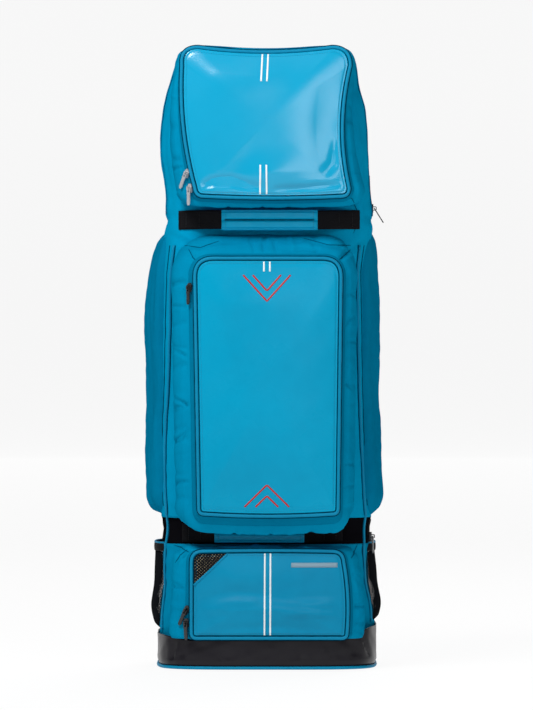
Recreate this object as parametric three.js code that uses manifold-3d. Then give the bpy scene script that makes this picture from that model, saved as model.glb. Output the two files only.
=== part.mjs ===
// Cricket kit bag, standing on its base. Millimetres, +Z up, front towards -Y,
// origin at the middle of the base's flat underside.
import * as THREE from 'three';
import { mergeVertices } from 'three/addons/utils/BufferGeometryUtils.js';
import Module from 'manifold-3d';

// Clearances and walls
const GAP = 0.3;
const FABRIC_WALL = 2.5;
const PANEL_WALL = 2.2;
const WEBBING_THICKNESS = 2.4;

// Main bag
const BODY_HALF_WIDTH = 160;
const BODY_HALF_DEPTH = 112;
const CORNER_POWER = 4.5;
const LOWER_HEIGHT = 182;
const WAIST_HEIGHT = 38;
const UPPER_HEIGHT = 699;
const TOP_SAG = 7;

// Base
const BASE_FLOOR = 2;
const BASE_HEIGHT = 43;
const BASE_FRONT_REACH = 44;
const BASE_RISE_LEFT = 7;
const BASE_RISE_RIGHT = 19;
const BASE_PIPING_RADIUS = 2.4;

// Top pocket
const TOP_POCKET_WIDTH = 250;
const TOP_POCKET_HEIGHT = 219;
const TOP_POCKET_DEPTH = 58;
const TOP_POCKET_LEAN = 34;
const TOP_POCKET_DROP = 5;
const TOP_POCKET_CROWN = 11;
const TOP_POCKET_SHIFT = -2;
const TOP_POCKET_ROUND = 24;
const TOP_FLARE_LEFT = 30;
const TOP_FLARE_RIGHT = 24;
const TOP_FLARE_TOP = 3;
const TOP_FLARE_FOOT = 13;
const TOP_FLARE_TAPER = 0.2;

// Mid pocket
const MID_POCKET_WIDTH = 214;
const MID_POCKET_HEIGHT = 373;
const MID_POCKET_DEPTH = 78;
const MID_POCKET_LEAN = 4;
const MID_POCKET_RISE = 9;
const MID_POCKET_CROWN = 9;
const MID_POCKET_SHIFT = 2;
const MID_POCKET_ROUND = 32;
const MID_FLARE_LEFT = 34;
const MID_FLARE_RIGHT = 23;
const MID_FLARE_TOP = 36;
const MID_FLARE_FOOT = 27;
const MID_FLARE_TAPER = 1;

// Low pocket
const LOW_POCKET_WIDTH = 228;
const LOW_POCKET_HEIGHT = 127;
const LOW_POCKET_DEPTH = 52;
const LOW_POCKET_LEAN = 3;
const LOW_POCKET_RISE = 4;
const LOW_POCKET_CROWN = 7;
const LOW_POCKET_SHIFT = 4;
const LOW_POCKET_ROUND = 16;
const LOW_FLARE_LEFT = 32;
const LOW_FLARE_RIGHT = 26;
const LOW_FLARE_TOP = 5;
const LOW_FLARE_FOOT = 0;
const LOW_FLARE_TAPER = 0.8;
const VENT_WIDTH = 57;
const VENT_HEIGHT = 53;

// Pocket edges
const PIPING_RADIUS = 2.5;
const ZIP_SHARE = 0.16;
const ZIP_SEAT_SHARE = 0.62;
const GUSSET_ROOT = 44;
const MAIN_ZIP_WIDTH = 12;
const MAIN_ZIP_SETBACK = 45;
const MAIN_ZIP_REACH = 259.6;
const SIDE_ZIP_LENGTH = 34;
const SIDE_ZIP_WIDTH = 10;
const SIDE_ZIP_THICKNESS = 1.6;
const SIDE_ZIP_TURN = 17;
const SIDE_ZIP_SPREAD = 1.6;
const SIDE_ZIP_ROOT = 2;

// Side compartments
const SLEEVE_HEIGHT = 425;
const SLEEVE_HALF_DEPTH = 74;
const SLEEVE_BULGE = 20;
const SIDE_ROOT = 12;
const SLEEVE_FOLD = 2.2;
const MESH_WALL = 1.5;
const MESH_POCKET_HALF_DEPTH = 62;
const MESH_POCKET_BULGE = 14;
const ELASTIC_HEIGHT = 12;
const EDGE_PIPING_RADIUS = 1.9;
const EDGE_PIPING_RISE = 401.4;

// Handles
const WEBBING_WIDTH = 26;
const GRIP_THICKNESS = 13;
const TOP_HANDLE_RISE = 438.4;
const TOP_HANDLE_SPAN = 266;
const TOP_HANDLE_STANDOFF = 26;
const TOP_GRIP_LENGTH = 141;
const TOP_GRIP_WIDTH = 31;
const TOP_HANDLE_SHIFT = 4;
const TOP_GRIP_SHIFT = 0.5;
const LOW_HANDLE_RISE = 16.7;
const LOW_HANDLE_SPAN = 236;
const LOW_HANDLE_STANDOFF = 20;
const LOW_GRIP_LENGTH = 132;
const LOW_GRIP_WIDTH = 29;
const LOW_HANDLE_SHIFT = -6;
const LOW_GRIP_SHIFT = -4.5;
const HANDLE_SEAM = 18;

// Zip pulls
const SLIDER_LENGTH = 13;
const SLIDER_WIDTH = 8.6;
const SLIDER_THICKNESS = 2.6;
const BAIL_WIDTH = 2.2;
const BAIL_BAR = 1.2;
const BAIL_LENGTH = 3.8;
const BAIL_RISE = 3.8;
const TAB_WIDTH = 6.4;
const TAB_LENGTH = 25;
const TAB_THICKNESS = 1.6;
const TAB_CROSSBAR = 1.8;
const TAB_CLEARANCE = 0.6;
const PULL_STANDOFF = 0.9;
const TOP_UPPER_PULL_RISE = 33.9;
const TOP_UPPER_PULL_TILT = 28;
const TOP_LOWER_PULL_RISE = 11.9;
const MID_PULL_DROP = 42.6;
const LOW_UPPER_PULL_RISE = 41;
const LOW_UPPER_PULL_TILT = 27;
const LOW_LOWER_PULL_RISE = 22;
const LOW_LOWER_PULL_TILT = -4;
const MAIN_PULL_RISE = 17;
const MAIN_PULL_STANDOFF = 0.5;
const MAIN_PULL_LIFT = 32;
const SIDE_PULL_RISE = 9.7;

// How finely round forms are divided
const SECTION_POINTS = 22;
const CORNER_STEPS = 3;
const EDGE_STEPS = 3;
const PIPING_SIDES = 5;
const SIDE_POINTS = 18;
const SIDE_FOLDS = 5;
const STRAP_STEPS = 16;
const GRIP_STEPS = 6;
const GRIP_SIDES = 10;
const GRIP_END_SHARE = 0.86;
const EDGE_PIPING_EXTRA_STEPS = 3;

// Levels that several pieces share
const LOWER_FLOOR = BASE_FLOOR + GAP;
const WAIST_BOTTOM = LOWER_HEIGHT + GAP;
const WAIST_TOP = WAIST_BOTTOM + WAIST_HEIGHT;
const UPPER_BOTTOM = WAIST_TOP + GAP;
const BAG_TOP = UPPER_BOTTOM + UPPER_HEIGHT;
const MAIN_ZIP_END = BAG_TOP - MAIN_ZIP_REACH;

// Section tables. up is a share of the piece's height, left, right, front and back are shares
// of the body's half width and half depth, reach is a share of the base's front reach, and roof is how
// far the inner wall drops below the outer one there, as a share of the wall.
const UPPER_SECTIONS = [
  { up: 0, left: 0.975, right: 0.975, front: 0.93, back: 0.95 },
  { up: 0.04, left: 0.985, right: 0.955, front: 1.0, back: 1.0 },
  { up: 0.3, left: 0.99, right: 0.915, front: 1.02, back: 1.03 },
  { up: 0.5, left: 0.98, right: 0.91, front: 1.0, back: 1.02 },
  { up: 0.575, left: 0.955, right: 0.95, front: 0.96, back: 1.0 },
  { up: 0.62, left: 0.935, right: 0.985, front: 0.93, back: 0.98 },
  { up: 0.67, left: 0.93, right: 0.96, front: 0.925, back: 0.97 },
  { up: 0.785, left: 0.98, right: 0.93, front: 0.98, back: 1.01 },
  { up: 0.86, left: 0.95, right: 0.905, front: 0.96, back: 1.0 },
  { up: 0.92, left: 0.89, right: 0.842, front: 0.9, back: 0.95 },
  { up: 0.957, left: 0.845, right: 0.83, front: 0.83, back: 0.89 },
  { up: 0.982, left: 0.8, right: 0.79, front: 0.74, back: 0.8 },
  { up: 0.996, left: 0.72, right: 0.7, front: 0.6, back: 0.66, roof: 0.9 },
  { up: 1, left: 0.63, right: 0.6, front: 0.46, back: 0.52, roof: 1 },
];
const WAIST_SECTIONS = [
  { up: 0, left: 0.975, right: 0.955, front: 0.92, back: 0.94 },
  { up: 0.5, left: 0.955, right: 0.955, front: 0.88, back: 0.91 },
  { up: 1, left: 0.97, right: 0.97, front: 0.92, back: 0.94 },
];
const LOWER_SECTIONS = [
  { up: 0, left: 0.96, right: 0.965, front: 0.98, back: 0.96, reach: 0.92, roof: -1 },
  { up: 0.05, left: 0.99, right: 1.0, front: 1.0, back: 1.0, reach: 1 },
  { up: 0.2, left: 0.99, right: 1.0, front: 1.0, back: 1.0, reach: 1, roof: 1 },
  { up: 0.218, left: 0.99, right: 1.0, front: 1.0, back: 1.0, reach: 0.96, roof: 1 },
  { up: 0.226, left: 0.99, right: 1.0, front: 1.0, back: 1.0, reach: 0, roof: 1 },
  { up: 0.45, left: 0.985, right: 0.985, front: 1.0, back: 1.0, reach: 0 },
  { up: 0.7, left: 0.955, right: 0.94, front: 0.99, back: 1.01, reach: 0 },
  { up: 0.93, left: 0.965, right: 0.935, front: 0.95, back: 0.97, reach: 0 },
  { up: 1, left: 0.975, right: 0.95, front: 0.93, back: 0.95, reach: 0 },
];
// up and out: shares of the side compartment's height and bulge
const SLEEVE_SECTIONS = [
  { up: 0.002, out: -0.35, deep: 0.6 },
  { up: 0.03, out: 0.55, deep: 0.88 },
  { up: 0.08, out: 0.92, deep: 0.97 },
  { up: 0.2, out: 0.95, deep: 1.0 },
  { up: 0.45, out: 0.85, deep: 1.0 },
  { up: 0.7, out: 1.0, deep: 1.0 },
  { up: 0.86, out: 0.75, deep: 0.97 },
  { up: 0.95, out: 0.35, deep: 0.86 },
  { up: 1, out: -0.3, deep: 0.6 },
];
const MESH_SECTIONS = [
  { up: 0, out: -0.2, deep: 0.8 },
  { up: 0.1, out: 0.6, deep: 0.95 },
  { up: 0.35, out: 1.0, deep: 1.0 },
  { up: 0.7, out: 0.95, deep: 1.0 },
  { up: 1, out: 0.75, deep: 0.98 },
];
// Corners of a pocket's face, in order round it: across and up from its middle as shares of the
// half width and half height, round as a share of the pocket's rounding, and bow, how far the
// edge that follows stands out as a share of the half width
const TOP_CORNERS = [
  { across: 0.98, up: -1, round: 0.5, bow: -0.085 },
  { across: 1, up: 1, round: 1.125, bow: -0.055 },
  { across: -1, up: 1, round: 1.125, bow: 0.06 },
  { across: -0.81, up: -1, round: 0.5, bow: 0.02 },
];
const MID_CORNERS = [
  { across: 0.955, up: -1, round: 0.25, bow: 0 },
  { across: 1, up: 1, round: 0.875, bow: 0 },
  { across: -1, up: 1, round: 0.875, bow: 0 },
  { across: -0.94, up: -1, round: 0.25, bow: 0.03 },
];
const LOW_CORNERS = [
  { across: 1, up: -1, round: 0.5, bow: 0.03 },
  { across: 0.95, up: 1, round: 1.0625, bow: 0.01 },
  { across: -1, up: 1, round: 1.0625, bow: 0 },
  { across: -1, up: -1, round: 0.5, bow: 0 },
];
// The gusset from its root inside the body to the zip. depth is the share of the way from the
// body's front to the face (none at the root), and the others are shares of the flare.
const GUSSET_PROFILE = [
  { depth: null, side: 0.75, top: 1.0, foot: -0.1 },
  { depth: 0.1, side: 1.0, top: 0.9, foot: 0.15 },
  { depth: 0.5, side: 0.95, top: 0.6, foot: 0.75 },
  { depth: 0.76, side: 0.62, top: 0.3, foot: 1.0 },
];
const ZIP_FOOT_SPREAD = { side: 0.24, top: 0.14, foot: 0.5 };
// Dents and swells of the faces: place and reach as shares of half width and half height,
// push as a share of the crown
const TOP_DENTS = [
  { across: -0.42, up: -0.8, wide: 0.3, tall: 0.2, push: -0.8 },
  { across: 0.1, up: -0.72, wide: 0.35, tall: 0.25, push: 0.5 },
  { across: 0.85, up: -0.1, wide: 0.25, tall: 0.5, push: -0.6 },
  { across: -0.2, up: 0.6, wide: 0.5, tall: 0.3, push: 0.3 },
];
const MID_DENTS = [
  { across: -0.3, up: 0.75, wide: 0.5, tall: 0.2, push: 0.4 },
  { across: 0.1, up: -0.85, wide: 0.6, tall: 0.15, push: -0.4 },
];
const LOW_DENTS = [
  { across: 0.4, up: -0.35, wide: 0.5, tall: 0.25, push: 0.6 },
  { across: -0.3, up: 0.1, wide: 0.6, tall: 0.2, push: -0.5 },
];
// Edge piping from its foot to its top: up is the share of the way, and left and right are the
// turns in degrees from the side towards the front
const EDGE_ROUTE = [
  { up: 0, left: 22, right: 22 },
  { up: 0.07, left: 20, right: 20 },
  { up: 0.14, left: 21, right: 23 },
  { up: 0.2, left: 24, right: 28 },
  { up: 0.26, left: 28, right: 31 },
  { up: 0.33, left: 31, right: 30 },
  { up: 0.4, left: 28, right: 29 },
  { up: 0.5, left: 29, right: 31 },
  { up: 0.64, left: 35, right: 33 },
  { up: 0.8, left: 37, right: 34 },
  { up: 0.9, left: 38, right: 35 },
  { up: 1, left: 40, right: 37 },
];
const PANEL_RINGS = [0.8, 0.42];

// Shares and powers that shape the soft forms
const SAG_ZONE = 0.12;
const BASE_RISE_START = 0.68;
const DOME_POWER = 2.4;
const DENT_FADE = 3;
const SIDE_POWER = 0.7;
const SIDE_DEPTH_POWER = 0.8;
const SIDE_FOLD_POWER = 0.5;
const GRIP_FACE_POWER = 0.6;
const GRIP_EDGE_POWER = 0.45;
const TAB_TIP_SHARE = 0.42;
const SLIDER_NOSE_SHARE = 0.5;
const SLIDER_TAIL_SHARE = 0.75;
const SMALL_TURN = 0.02;
const FULL_SHARE = 0.999;

// The main bag's parts, gathered from the driving dimensions
const UPPER = { rows: UPPER_SECTIONS, floor: UPPER_BOTTOM, height: UPPER_HEIGHT, sag: TOP_SAG };
const WAIST = { rows: WAIST_SECTIONS, floor: WAIST_BOTTOM, height: WAIST_HEIGHT, sag: 0 };
const LOWER = { rows: LOWER_SECTIONS, floor: LOWER_FLOOR, height: LOWER_HEIGHT - LOWER_FLOOR, sag: 0 };

// A pocket's sizes, gathered from the driving dimensions
const TOP_POCKET = {
  width: TOP_POCKET_WIDTH,
  height: TOP_POCKET_HEIGHT,
  depth: TOP_POCKET_DEPTH,
  lean: TOP_POCKET_LEAN,
  crown: TOP_POCKET_CROWN,
  shiftX: TOP_POCKET_SHIFT,
  round: TOP_POCKET_ROUND,
  middleZ: BAG_TOP - TOP_POCKET_DROP - PIPING_RADIUS - TOP_POCKET_HEIGHT / 2,
  flare: {
    left: TOP_FLARE_LEFT,
    right: TOP_FLARE_RIGHT,
    top: TOP_FLARE_TOP,
    foot: TOP_FLARE_FOOT,
    taper: TOP_FLARE_TAPER,
  },
  on: UPPER,
  seatLow: UPPER_BOTTOM,
  seatHigh: BAG_TOP,
  seats: [() => envelope(UPPER, GAP)],
  corners: TOP_CORNERS,
  dents: TOP_DENTS,
};
const MID_POCKET = {
  width: MID_POCKET_WIDTH,
  height: MID_POCKET_HEIGHT,
  depth: MID_POCKET_DEPTH,
  lean: MID_POCKET_LEAN,
  crown: MID_POCKET_CROWN,
  shiftX: MID_POCKET_SHIFT,
  round: MID_POCKET_ROUND,
  middleZ: UPPER_BOTTOM + MID_POCKET_RISE + MID_POCKET_HEIGHT / 2,
  flare: {
    left: MID_FLARE_LEFT,
    right: MID_FLARE_RIGHT,
    top: MID_FLARE_TOP,
    foot: MID_FLARE_FOOT,
    taper: MID_FLARE_TAPER,
  },
  on: UPPER,
  seatLow: UPPER_BOTTOM + MID_POCKET_RISE,
  seatHigh: BAG_TOP,
  seats: [() => envelope(UPPER, GAP), () => envelope(WAIST, GAP)],
  corners: MID_CORNERS,
  dents: MID_DENTS,
};
const LOW_POCKET = {
  width: LOW_POCKET_WIDTH,
  height: LOW_POCKET_HEIGHT,
  depth: LOW_POCKET_DEPTH,
  lean: LOW_POCKET_LEAN,
  crown: LOW_POCKET_CROWN,
  shiftX: LOW_POCKET_SHIFT,
  round: LOW_POCKET_ROUND,
  middleZ: BASE_HEIGHT + LOW_POCKET_RISE + LOW_POCKET_HEIGHT / 2,
  flare: {
    left: LOW_FLARE_LEFT,
    right: LOW_FLARE_RIGHT,
    top: LOW_FLARE_TOP,
    foot: LOW_FLARE_FOOT,
    taper: LOW_FLARE_TAPER,
  },
  on: LOWER,
  seatLow: BASE_HEIGHT + LOW_POCKET_RISE,
  seatHigh: LOWER_HEIGHT,
  seats: [() => envelope(LOWER, GAP), () => baseEnvelope(GAP)],
  corners: LOW_CORNERS,
  dents: LOW_DENTS,
};

// Solids
const wasm = await Module();
wasm.setup();

function solidOf(geometry) {
  const bare = geometry.clone();
  bare.deleteAttribute('normal');
  bare.deleteAttribute('uv');
  const merged = mergeVertices(bare, 1e-4);
  const vertProperties = new Float32Array(merged.attributes.position.array);
  const triVerts = new Uint32Array(merged.index.array);
  return new wasm.Manifold(new wasm.Mesh({ numProp: 3, vertProperties, triVerts }));
}

function geometryOf(solid) {
  const mesh = solid.getMesh();
  const geometry = new THREE.BufferGeometry();
  const positions = new Float32Array(mesh.vertProperties);
  geometry.setAttribute('position', new THREE.BufferAttribute(positions, 3));
  geometry.setIndex(new THREE.BufferAttribute(new Uint32Array(mesh.triVerts), 1));
  geometry.computeVertexNormals();
  return geometry;
}

// The largest separate piece of a cut solid, without the offcuts
function mainPiece(solid) {
  const pieces = solid.decompose();
  pieces.sort((a, b) => b.volume() - a.volume());
  return pieces[0];
}

function geometryFrom(points, faces) {
  const positions = new Float32Array(points.flatMap((p) => [p.x, p.y, p.z]));
  const geometry = new THREE.BufferGeometry();
  geometry.setAttribute('position', new THREE.BufferAttribute(positions, 3));
  geometry.setIndex(faces);
  if (signedVolume(points, faces) < 0) {
    geometry.setIndex(faces.reverse());
  }
  geometry.computeVertexNormals();
  return geometry;
}

function signedVolume(points, faces) {
  let volume = 0;
  const cross = new THREE.Vector3();
  for (let i = 0; i < faces.length; i += 3) {
    cross.crossVectors(points[faces[i + 1]], points[faces[i + 2]]);
    volume += points[faces[i]].dot(cross);
  }
  return volume;
}

function bridge(faces, first, second, count) {
  for (let i = 0; i < count; i += 1) {
    const j = (i + 1) % count;
    faces.push(first + i, first + j, second + j);
    faces.push(first + i, second + j, second + i);
  }
}

// A closed body through rings of points, with a point closing each end
function cappedLoft(rings, startTip, endTip) {
  const count = rings[0].length;
  const points = rings.flat();
  const faces = [];
  for (let k = 0; k + 1 < rings.length; k += 1) {
    bridge(faces, k * count, (k + 1) * count, count);
  }
  const start = points.length;
  points.push(startTip, endTip);
  const last = (rings.length - 1) * count;
  for (let i = 0; i < count; i += 1) {
    const j = (i + 1) % count;
    faces.push(start, j, i);
    faces.push(start + 1, last + i, last + j);
  }
  return geometryFrom(points, faces);
}

// A closed body whose rings come back to the first one, such as a hoop with a wall
function closedLoft(rings) {
  const count = rings[0].length;
  const faces = [];
  for (let k = 0; k < rings.length; k += 1) {
    bridge(faces, k * count, ((k + 1) % rings.length) * count, count);
  }
  return geometryFrom(rings.flat(), faces);
}

// A round cord through a closed row of places, each with its outward and its cross direction
function hoop(loop, radius) {
  return closedLoft(loop.map(({ at, outward, across }) => Array.from({ length: PIPING_SIDES }, (_, i) => {
    const angle = (2 * Math.PI * i) / PIPING_SIDES;
    const point = at.clone().addScaledVector(outward, radius * Math.cos(angle));
    return point.addScaledVector(across, radius * Math.sin(angle));
  })));
}

function tubeAlong(points, radius, sides, steps) {
  const path = new THREE.CatmullRomCurve3(points, false, 'centripetal');
  const section = new THREE.Shape();
  for (let i = 0; i < sides; i += 1) {
    const angle = (2 * Math.PI * i) / sides;
    const x = radius * Math.cos(angle);
    const y = radius * Math.sin(angle);
    if (i === 0) {
      section.moveTo(x, y);
    } else {
      section.lineTo(x, y);
    }
  }
  section.closePath();
  return new THREE.ExtrudeGeometry(section, { steps, extrudePath: path });
}

function centreOf(ring) {
  const sum = new THREE.Vector3();
  ring.forEach((p) => sum.add(p));
  return sum.divideScalar(ring.length);
}

function signedPower(value, power) {
  return Math.sign(value) * Math.abs(value) ** power;
}

// Body sections
function rowAt(rows, up) {
  const share = THREE.MathUtils.clamp(up, rows[0].up, rows[rows.length - 1].up);
  let k = 0;
  while (k + 2 < rows.length && rows[k + 1].up < share) {
    k += 1;
  }
  const low = rows[k];
  const high = rows[k + 1];
  const t = (share - low.up) / (high.up - low.up);
  const row = {};
  Object.keys(low).forEach((key) => {
    row[key] = THREE.MathUtils.lerp(low[key], high[key] ?? 0, t);
  });
  return row;
}

function halves(part, z, offset) {
  const row = rowAt(part.rows, (z - part.floor) / part.height);
  return {
    left: row.left * BODY_HALF_WIDTH + offset,
    right: row.right * BODY_HALF_WIDTH + offset,
    front: row.front * BODY_HALF_DEPTH + (row.reach ?? 0) * BASE_FRONT_REACH + offset,
    back: row.back * BODY_HALF_DEPTH + offset,
  };
}

function sectionPoint(half, angle, z) {
  const c = Math.cos(angle);
  const s = Math.sin(angle);
  const power = 2 / CORNER_POWER;
  const x = signedPower(c, power) * (c > 0 ? half.right : half.left);
  const y = signedPower(s, power) * (s > 0 ? half.back : half.front);
  return new THREE.Vector3(x, y, z);
}

function sectionRing(part, z, offset, lift = 0) {
  const half = halves(part, z, offset);
  const top = part.floor + part.height;
  const topness = THREE.MathUtils.smoothstep(z, top - SAG_ZONE * part.height, top);
  return Array.from({ length: SECTION_POINTS }, (_, i) => {
    const point = sectionPoint(half, (2 * Math.PI * (i + 0.5)) / SECTION_POINTS, z + lift);
    const across = point.x / (point.x > 0 ? half.right : half.left);
    point.z -= part.sag * topness * (1 - across * across);
    return point;
  });
}

function levelsOf(part) {
  return part.rows.map((row) => part.floor + row.up * part.height);
}

// How far the front of a body part stands from the mid plane at x and z
function frontOf(part, x, z, offset) {
  const half = halves(part, z, offset);
  const share = Math.min(Math.abs(x) / (x > 0 ? half.right : half.left), FULL_SHARE);
  return half.front * (1 - share ** CORNER_POWER) ** (1 / CORNER_POWER);
}

// The filled outer form of a body part, grown by an offset
function envelope(part, offset) {
  const rings = levelsOf(part).map((z) => sectionRing(part, z, offset));
  rings[0].forEach((p) => { p.z -= offset; });
  rings[rings.length - 1].forEach((p) => { p.z += offset; });
  return solidOf(cappedLoft(rings, centreOf(rings[0]), centreOf(rings[rings.length - 1])));
}

function wallRings(part) {
  const levels = levelsOf(part);
  const outer = levels.map((z) => sectionRing(part, z, 0));
  const inner = levels.map((z, k) => {
    const drop = (part.rows[k].roof ?? 0) * FABRIC_WALL;
    return sectionRing(part, z, -FABRIC_WALL, -drop);
  });
  return { outer, inner };
}

// A walled body part, open at its foot and closed on top
function upperShell() {
  const { outer, inner } = wallRings(UPPER);
  const rings = [...inner.reverse(), ...outer];
  return solidOf(cappedLoft(rings, centreOf(rings[0]), centreOf(rings[rings.length - 1])));
}

// The slab in which the main zip runs up one side, over the top and down the other
function zipSlab(halfWidth, bottom) {
  const height = BAG_TOP + BODY_HALF_DEPTH - bottom;
  const slab = new THREE.BoxGeometry(4 * BODY_HALF_WIDTH, 2 * halfWidth, height);
  slab.translate(0, -MAIN_ZIP_SETBACK, bottom + height / 2);
  return solidOf(slab);
}

function upperBody() {
  const slot = zipSlab(MAIN_ZIP_WIDTH / 2 + GAP, MAIN_ZIP_END - GAP);
  return geometryOf(mainPiece(upperShell().subtract(slot)));
}

function mainZip() {
  const strip = zipSlab(MAIN_ZIP_WIDTH / 2, MAIN_ZIP_END);
  return geometryOf(mainPiece(upperShell().intersect(strip)));
}

function waistBand() {
  const { outer, inner } = wallRings(WAIST);
  return closedLoft([...outer, ...inner.reverse()]);
}

// The lower body is open on top and closed at its foot
function lowerBody() {
  const { outer, inner } = wallRings(LOWER);
  const rings = [...inner, ...outer.reverse()];
  return cappedLoft(rings, centreOf(rings[0]), centreOf(rings[rings.length - 1]));
}

// Base wrap, whose upper edge rises towards both sides
function baseTopAt(x) {
  const share = Math.abs(x) / BODY_HALF_WIDTH;
  const rise = x > 0 ? BASE_RISE_RIGHT : BASE_RISE_LEFT;
  return BASE_HEIGHT + rise * THREE.MathUtils.smoothstep(share, BASE_RISE_START, 1);
}

const HEEL_LEVEL = LOWER_FLOOR + LOWER_SECTIONS[1].up * (LOWER_HEIGHT - LOWER_FLOOR);
const WRAP_LEVEL = LOWER_FLOOR + LOWER_SECTIONS[2].up * (LOWER_HEIGHT - LOWER_FLOOR);

function baseRings(offset, foot, rim) {
  const footRing = sectionRing(LOWER, LOWER_FLOOR, offset);
  footRing.forEach((p) => { p.z = foot; });
  const heelRing = sectionRing(LOWER, HEEL_LEVEL, offset);
  const topRing = sectionRing(LOWER, WRAP_LEVEL, offset);
  topRing.forEach((p) => { p.z = baseTopAt(p.x) + rim; });
  return [footRing, heelRing, topRing];
}

function baseWrap() {
  const inner = baseRings(GAP, BASE_FLOOR, 0);
  const outer = baseRings(GAP + FABRIC_WALL, 0, 0);
  const rings = [...inner, ...outer.reverse()];
  return cappedLoft(rings, centreOf(rings[0]), centreOf(rings[rings.length - 1]));
}

// The space that the base wrap takes, filled, for what stands on it or beside it
function baseEnvelope(offset) {
  const rings = baseRings(GAP + FABRIC_WALL + offset, 0, offset);
  return solidOf(cappedLoft(rings, centreOf(rings[0]), centreOf(rings[2])));
}

function basePiping() {
  const z = BASE_PIPING_RADIUS + GAP;
  const [foot, heel] = baseRings(GAP + FABRIC_WALL + 2 * GAP + BASE_PIPING_RADIUS, 0, 0);
  const middle = centreOf(foot);
  const loop = foot.map((p, i) => {
    const at = p.clone().lerp(heel[i], z / HEEL_LEVEL).setZ(z);
    return { at, outward: at.clone().sub(middle).setZ(0).normalize(), across: new THREE.Vector3(0, 0, 1) };
  });
  return hoop(loop, BASE_PIPING_RADIUS);
}

// Pocket faces. A pocket's outline is a rounded four-cornered form in the x and z plane.
function pocketOutline(pocket) {
  const halfWidth = pocket.width / 2;
  const corners = pocket.corners.map((row) => ({
    at: new THREE.Vector2(
      pocket.shiftX + row.across * halfWidth,
      pocket.middleZ + row.up * pocket.height / 2,
    ),
    round: row.round * pocket.round,
    bow: row.bow * halfWidth,
  }));
  const points = [];
  corners.forEach((corner, i) => {
    const before = corners[(i + 3) % 4];
    const after = corners[(i + 1) % 4];
    const toBefore = before.at.clone().sub(corner.at).setLength(corner.round);
    const toAfter = after.at.clone().sub(corner.at);
    const edgeEnd = after.at.clone().sub(toAfter.clone().setLength(after.round));
    const edgeStart = corner.at.clone().add(toAfter.clone().setLength(corner.round));
    const arcStart = corner.at.clone().add(toBefore);
    points.push(...new THREE.QuadraticBezierCurve(arcStart, corner.at, edgeStart).getPoints(CORNER_STEPS));
    const outward = new THREE.Vector2(toAfter.y, -toAfter.x).normalize();
    for (let k = 1; k < EDGE_STEPS; k += 1) {
      const t = k / EDGE_STEPS;
      const bow = outward.clone().multiplyScalar(4 * t * (1 - t) * corner.bow);
      points.push(edgeStart.clone().lerp(edgeEnd, t).add(bow));
    }
  });
  return points;
}

function outwardAt(points, i) {
  const next = points[(i + 1) % points.length];
  const last = points[(i + points.length - 1) % points.length];
  return new THREE.Vector2(next.y - last.y, last.x - next.x).normalize();
}

function faceDistance(pocket, z) {
  const up = THREE.MathUtils.clamp((z - pocket.middleZ) / pocket.height + 0.5, 0, 1);
  return BODY_HALF_DEPTH + pocket.depth - pocket.lean * up;
}

function flareAt(pocket, outward, z, spread) {
  const up = THREE.MathUtils.clamp((z - pocket.middleZ) / pocket.height + 0.5, 0, 1);
  const side = (outward.x < 0 ? pocket.flare.left : pocket.flare.right) * spread.side;
  const end = outward.y > 0 ? pocket.flare.top * spread.top : pocket.flare.foot * spread.foot;
  const narrowing = THREE.MathUtils.lerp(1, pocket.flare.taper, up);
  return side * narrowing * outward.x * outward.x + end * outward.y * outward.y;
}

const NO_SPREAD = { side: 0, top: 0, foot: 0 };

// A ring round the pocket at a depth share, spread by the flare and grown by an offset.
// back moves it towards the body.
function pocketRing(pocket, depth, spread, offset, back) {
  const outline = pocketOutline(pocket);
  return outline.map((p, i) => {
    const outward = outwardAt(outline, i);
    const grown = p.clone().addScaledVector(outward, offset + flareAt(pocket, outward, p.y, spread));
    const face = faceDistance(pocket, p.y);
    const body = halves(pocket.on, THREE.MathUtils.clamp(grown.y, pocket.seatLow, pocket.seatHigh), 0).front;
    const y = depth === null ? body - GUSSET_ROOT : THREE.MathUtils.lerp(body, face, depth);
    return new THREE.Vector3(grown.x, -(y - back), grown.y);
  });
}

function pocketGusset(pocket) {
  const half = FABRIC_WALL / 2;
  const rows = GUSSET_PROFILE.map((row) => ({ row, depth: row.depth, back: 0 }));
  rows.push({ row: ZIP_FOOT_SPREAD, depth: 1 - ZIP_SHARE, back: GAP });
  const outer = rows.map(({ row, depth, back }) => pocketRing(pocket, depth, row, half, back));
  const inner = rows.map(({ row, depth, back }) => pocketRing(pocket, depth, row, -half, back));
  let solid = solidOf(closedLoft([...outer, ...inner.reverse()]));
  pocket.seats.forEach((seat) => { solid = solid.subtract(seat()); });
  return geometryOf(mainPiece(solid));
}

function zipRings(pocket, offset) {
  return [
    pocketRing(pocket, 1 - ZIP_SHARE, ZIP_FOOT_SPREAD, offset, 0),
    pocketRing(pocket, 1, NO_SPREAD, offset, PIPING_RADIUS + GAP),
  ];
}

function pocketZip(pocket) {
  const half = FABRIC_WALL / 2;
  return closedLoft([...zipRings(pocket, half), ...zipRings(pocket, -half).reverse()]);
}

function pocketPiping(pocket) {
  const outline = pocketOutline(pocket);
  const across = new THREE.Vector3(0, -1, 0);
  const loop = pocketRing(pocket, 1, NO_SPREAD, 0, 0).map((at, i) => {
    const out = outwardAt(outline, i);
    return { at, outward: new THREE.Vector3(out.x, 0, out.y), across };
  });
  return hoop(loop, PIPING_RADIUS);
}

function dentAt(pocket, x, z) {
  const u = (x - pocket.shiftX) / (pocket.width / 2);
  const v = (z - pocket.middleZ) / (pocket.height / 2);
  return pocket.dents.reduce((sum, row) => {
    const near = ((u - row.across) / row.wide) ** 2 + ((v - row.up) / row.tall) ** 2;
    return sum + row.push * Math.exp(-near);
  }, 0);
}

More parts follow.
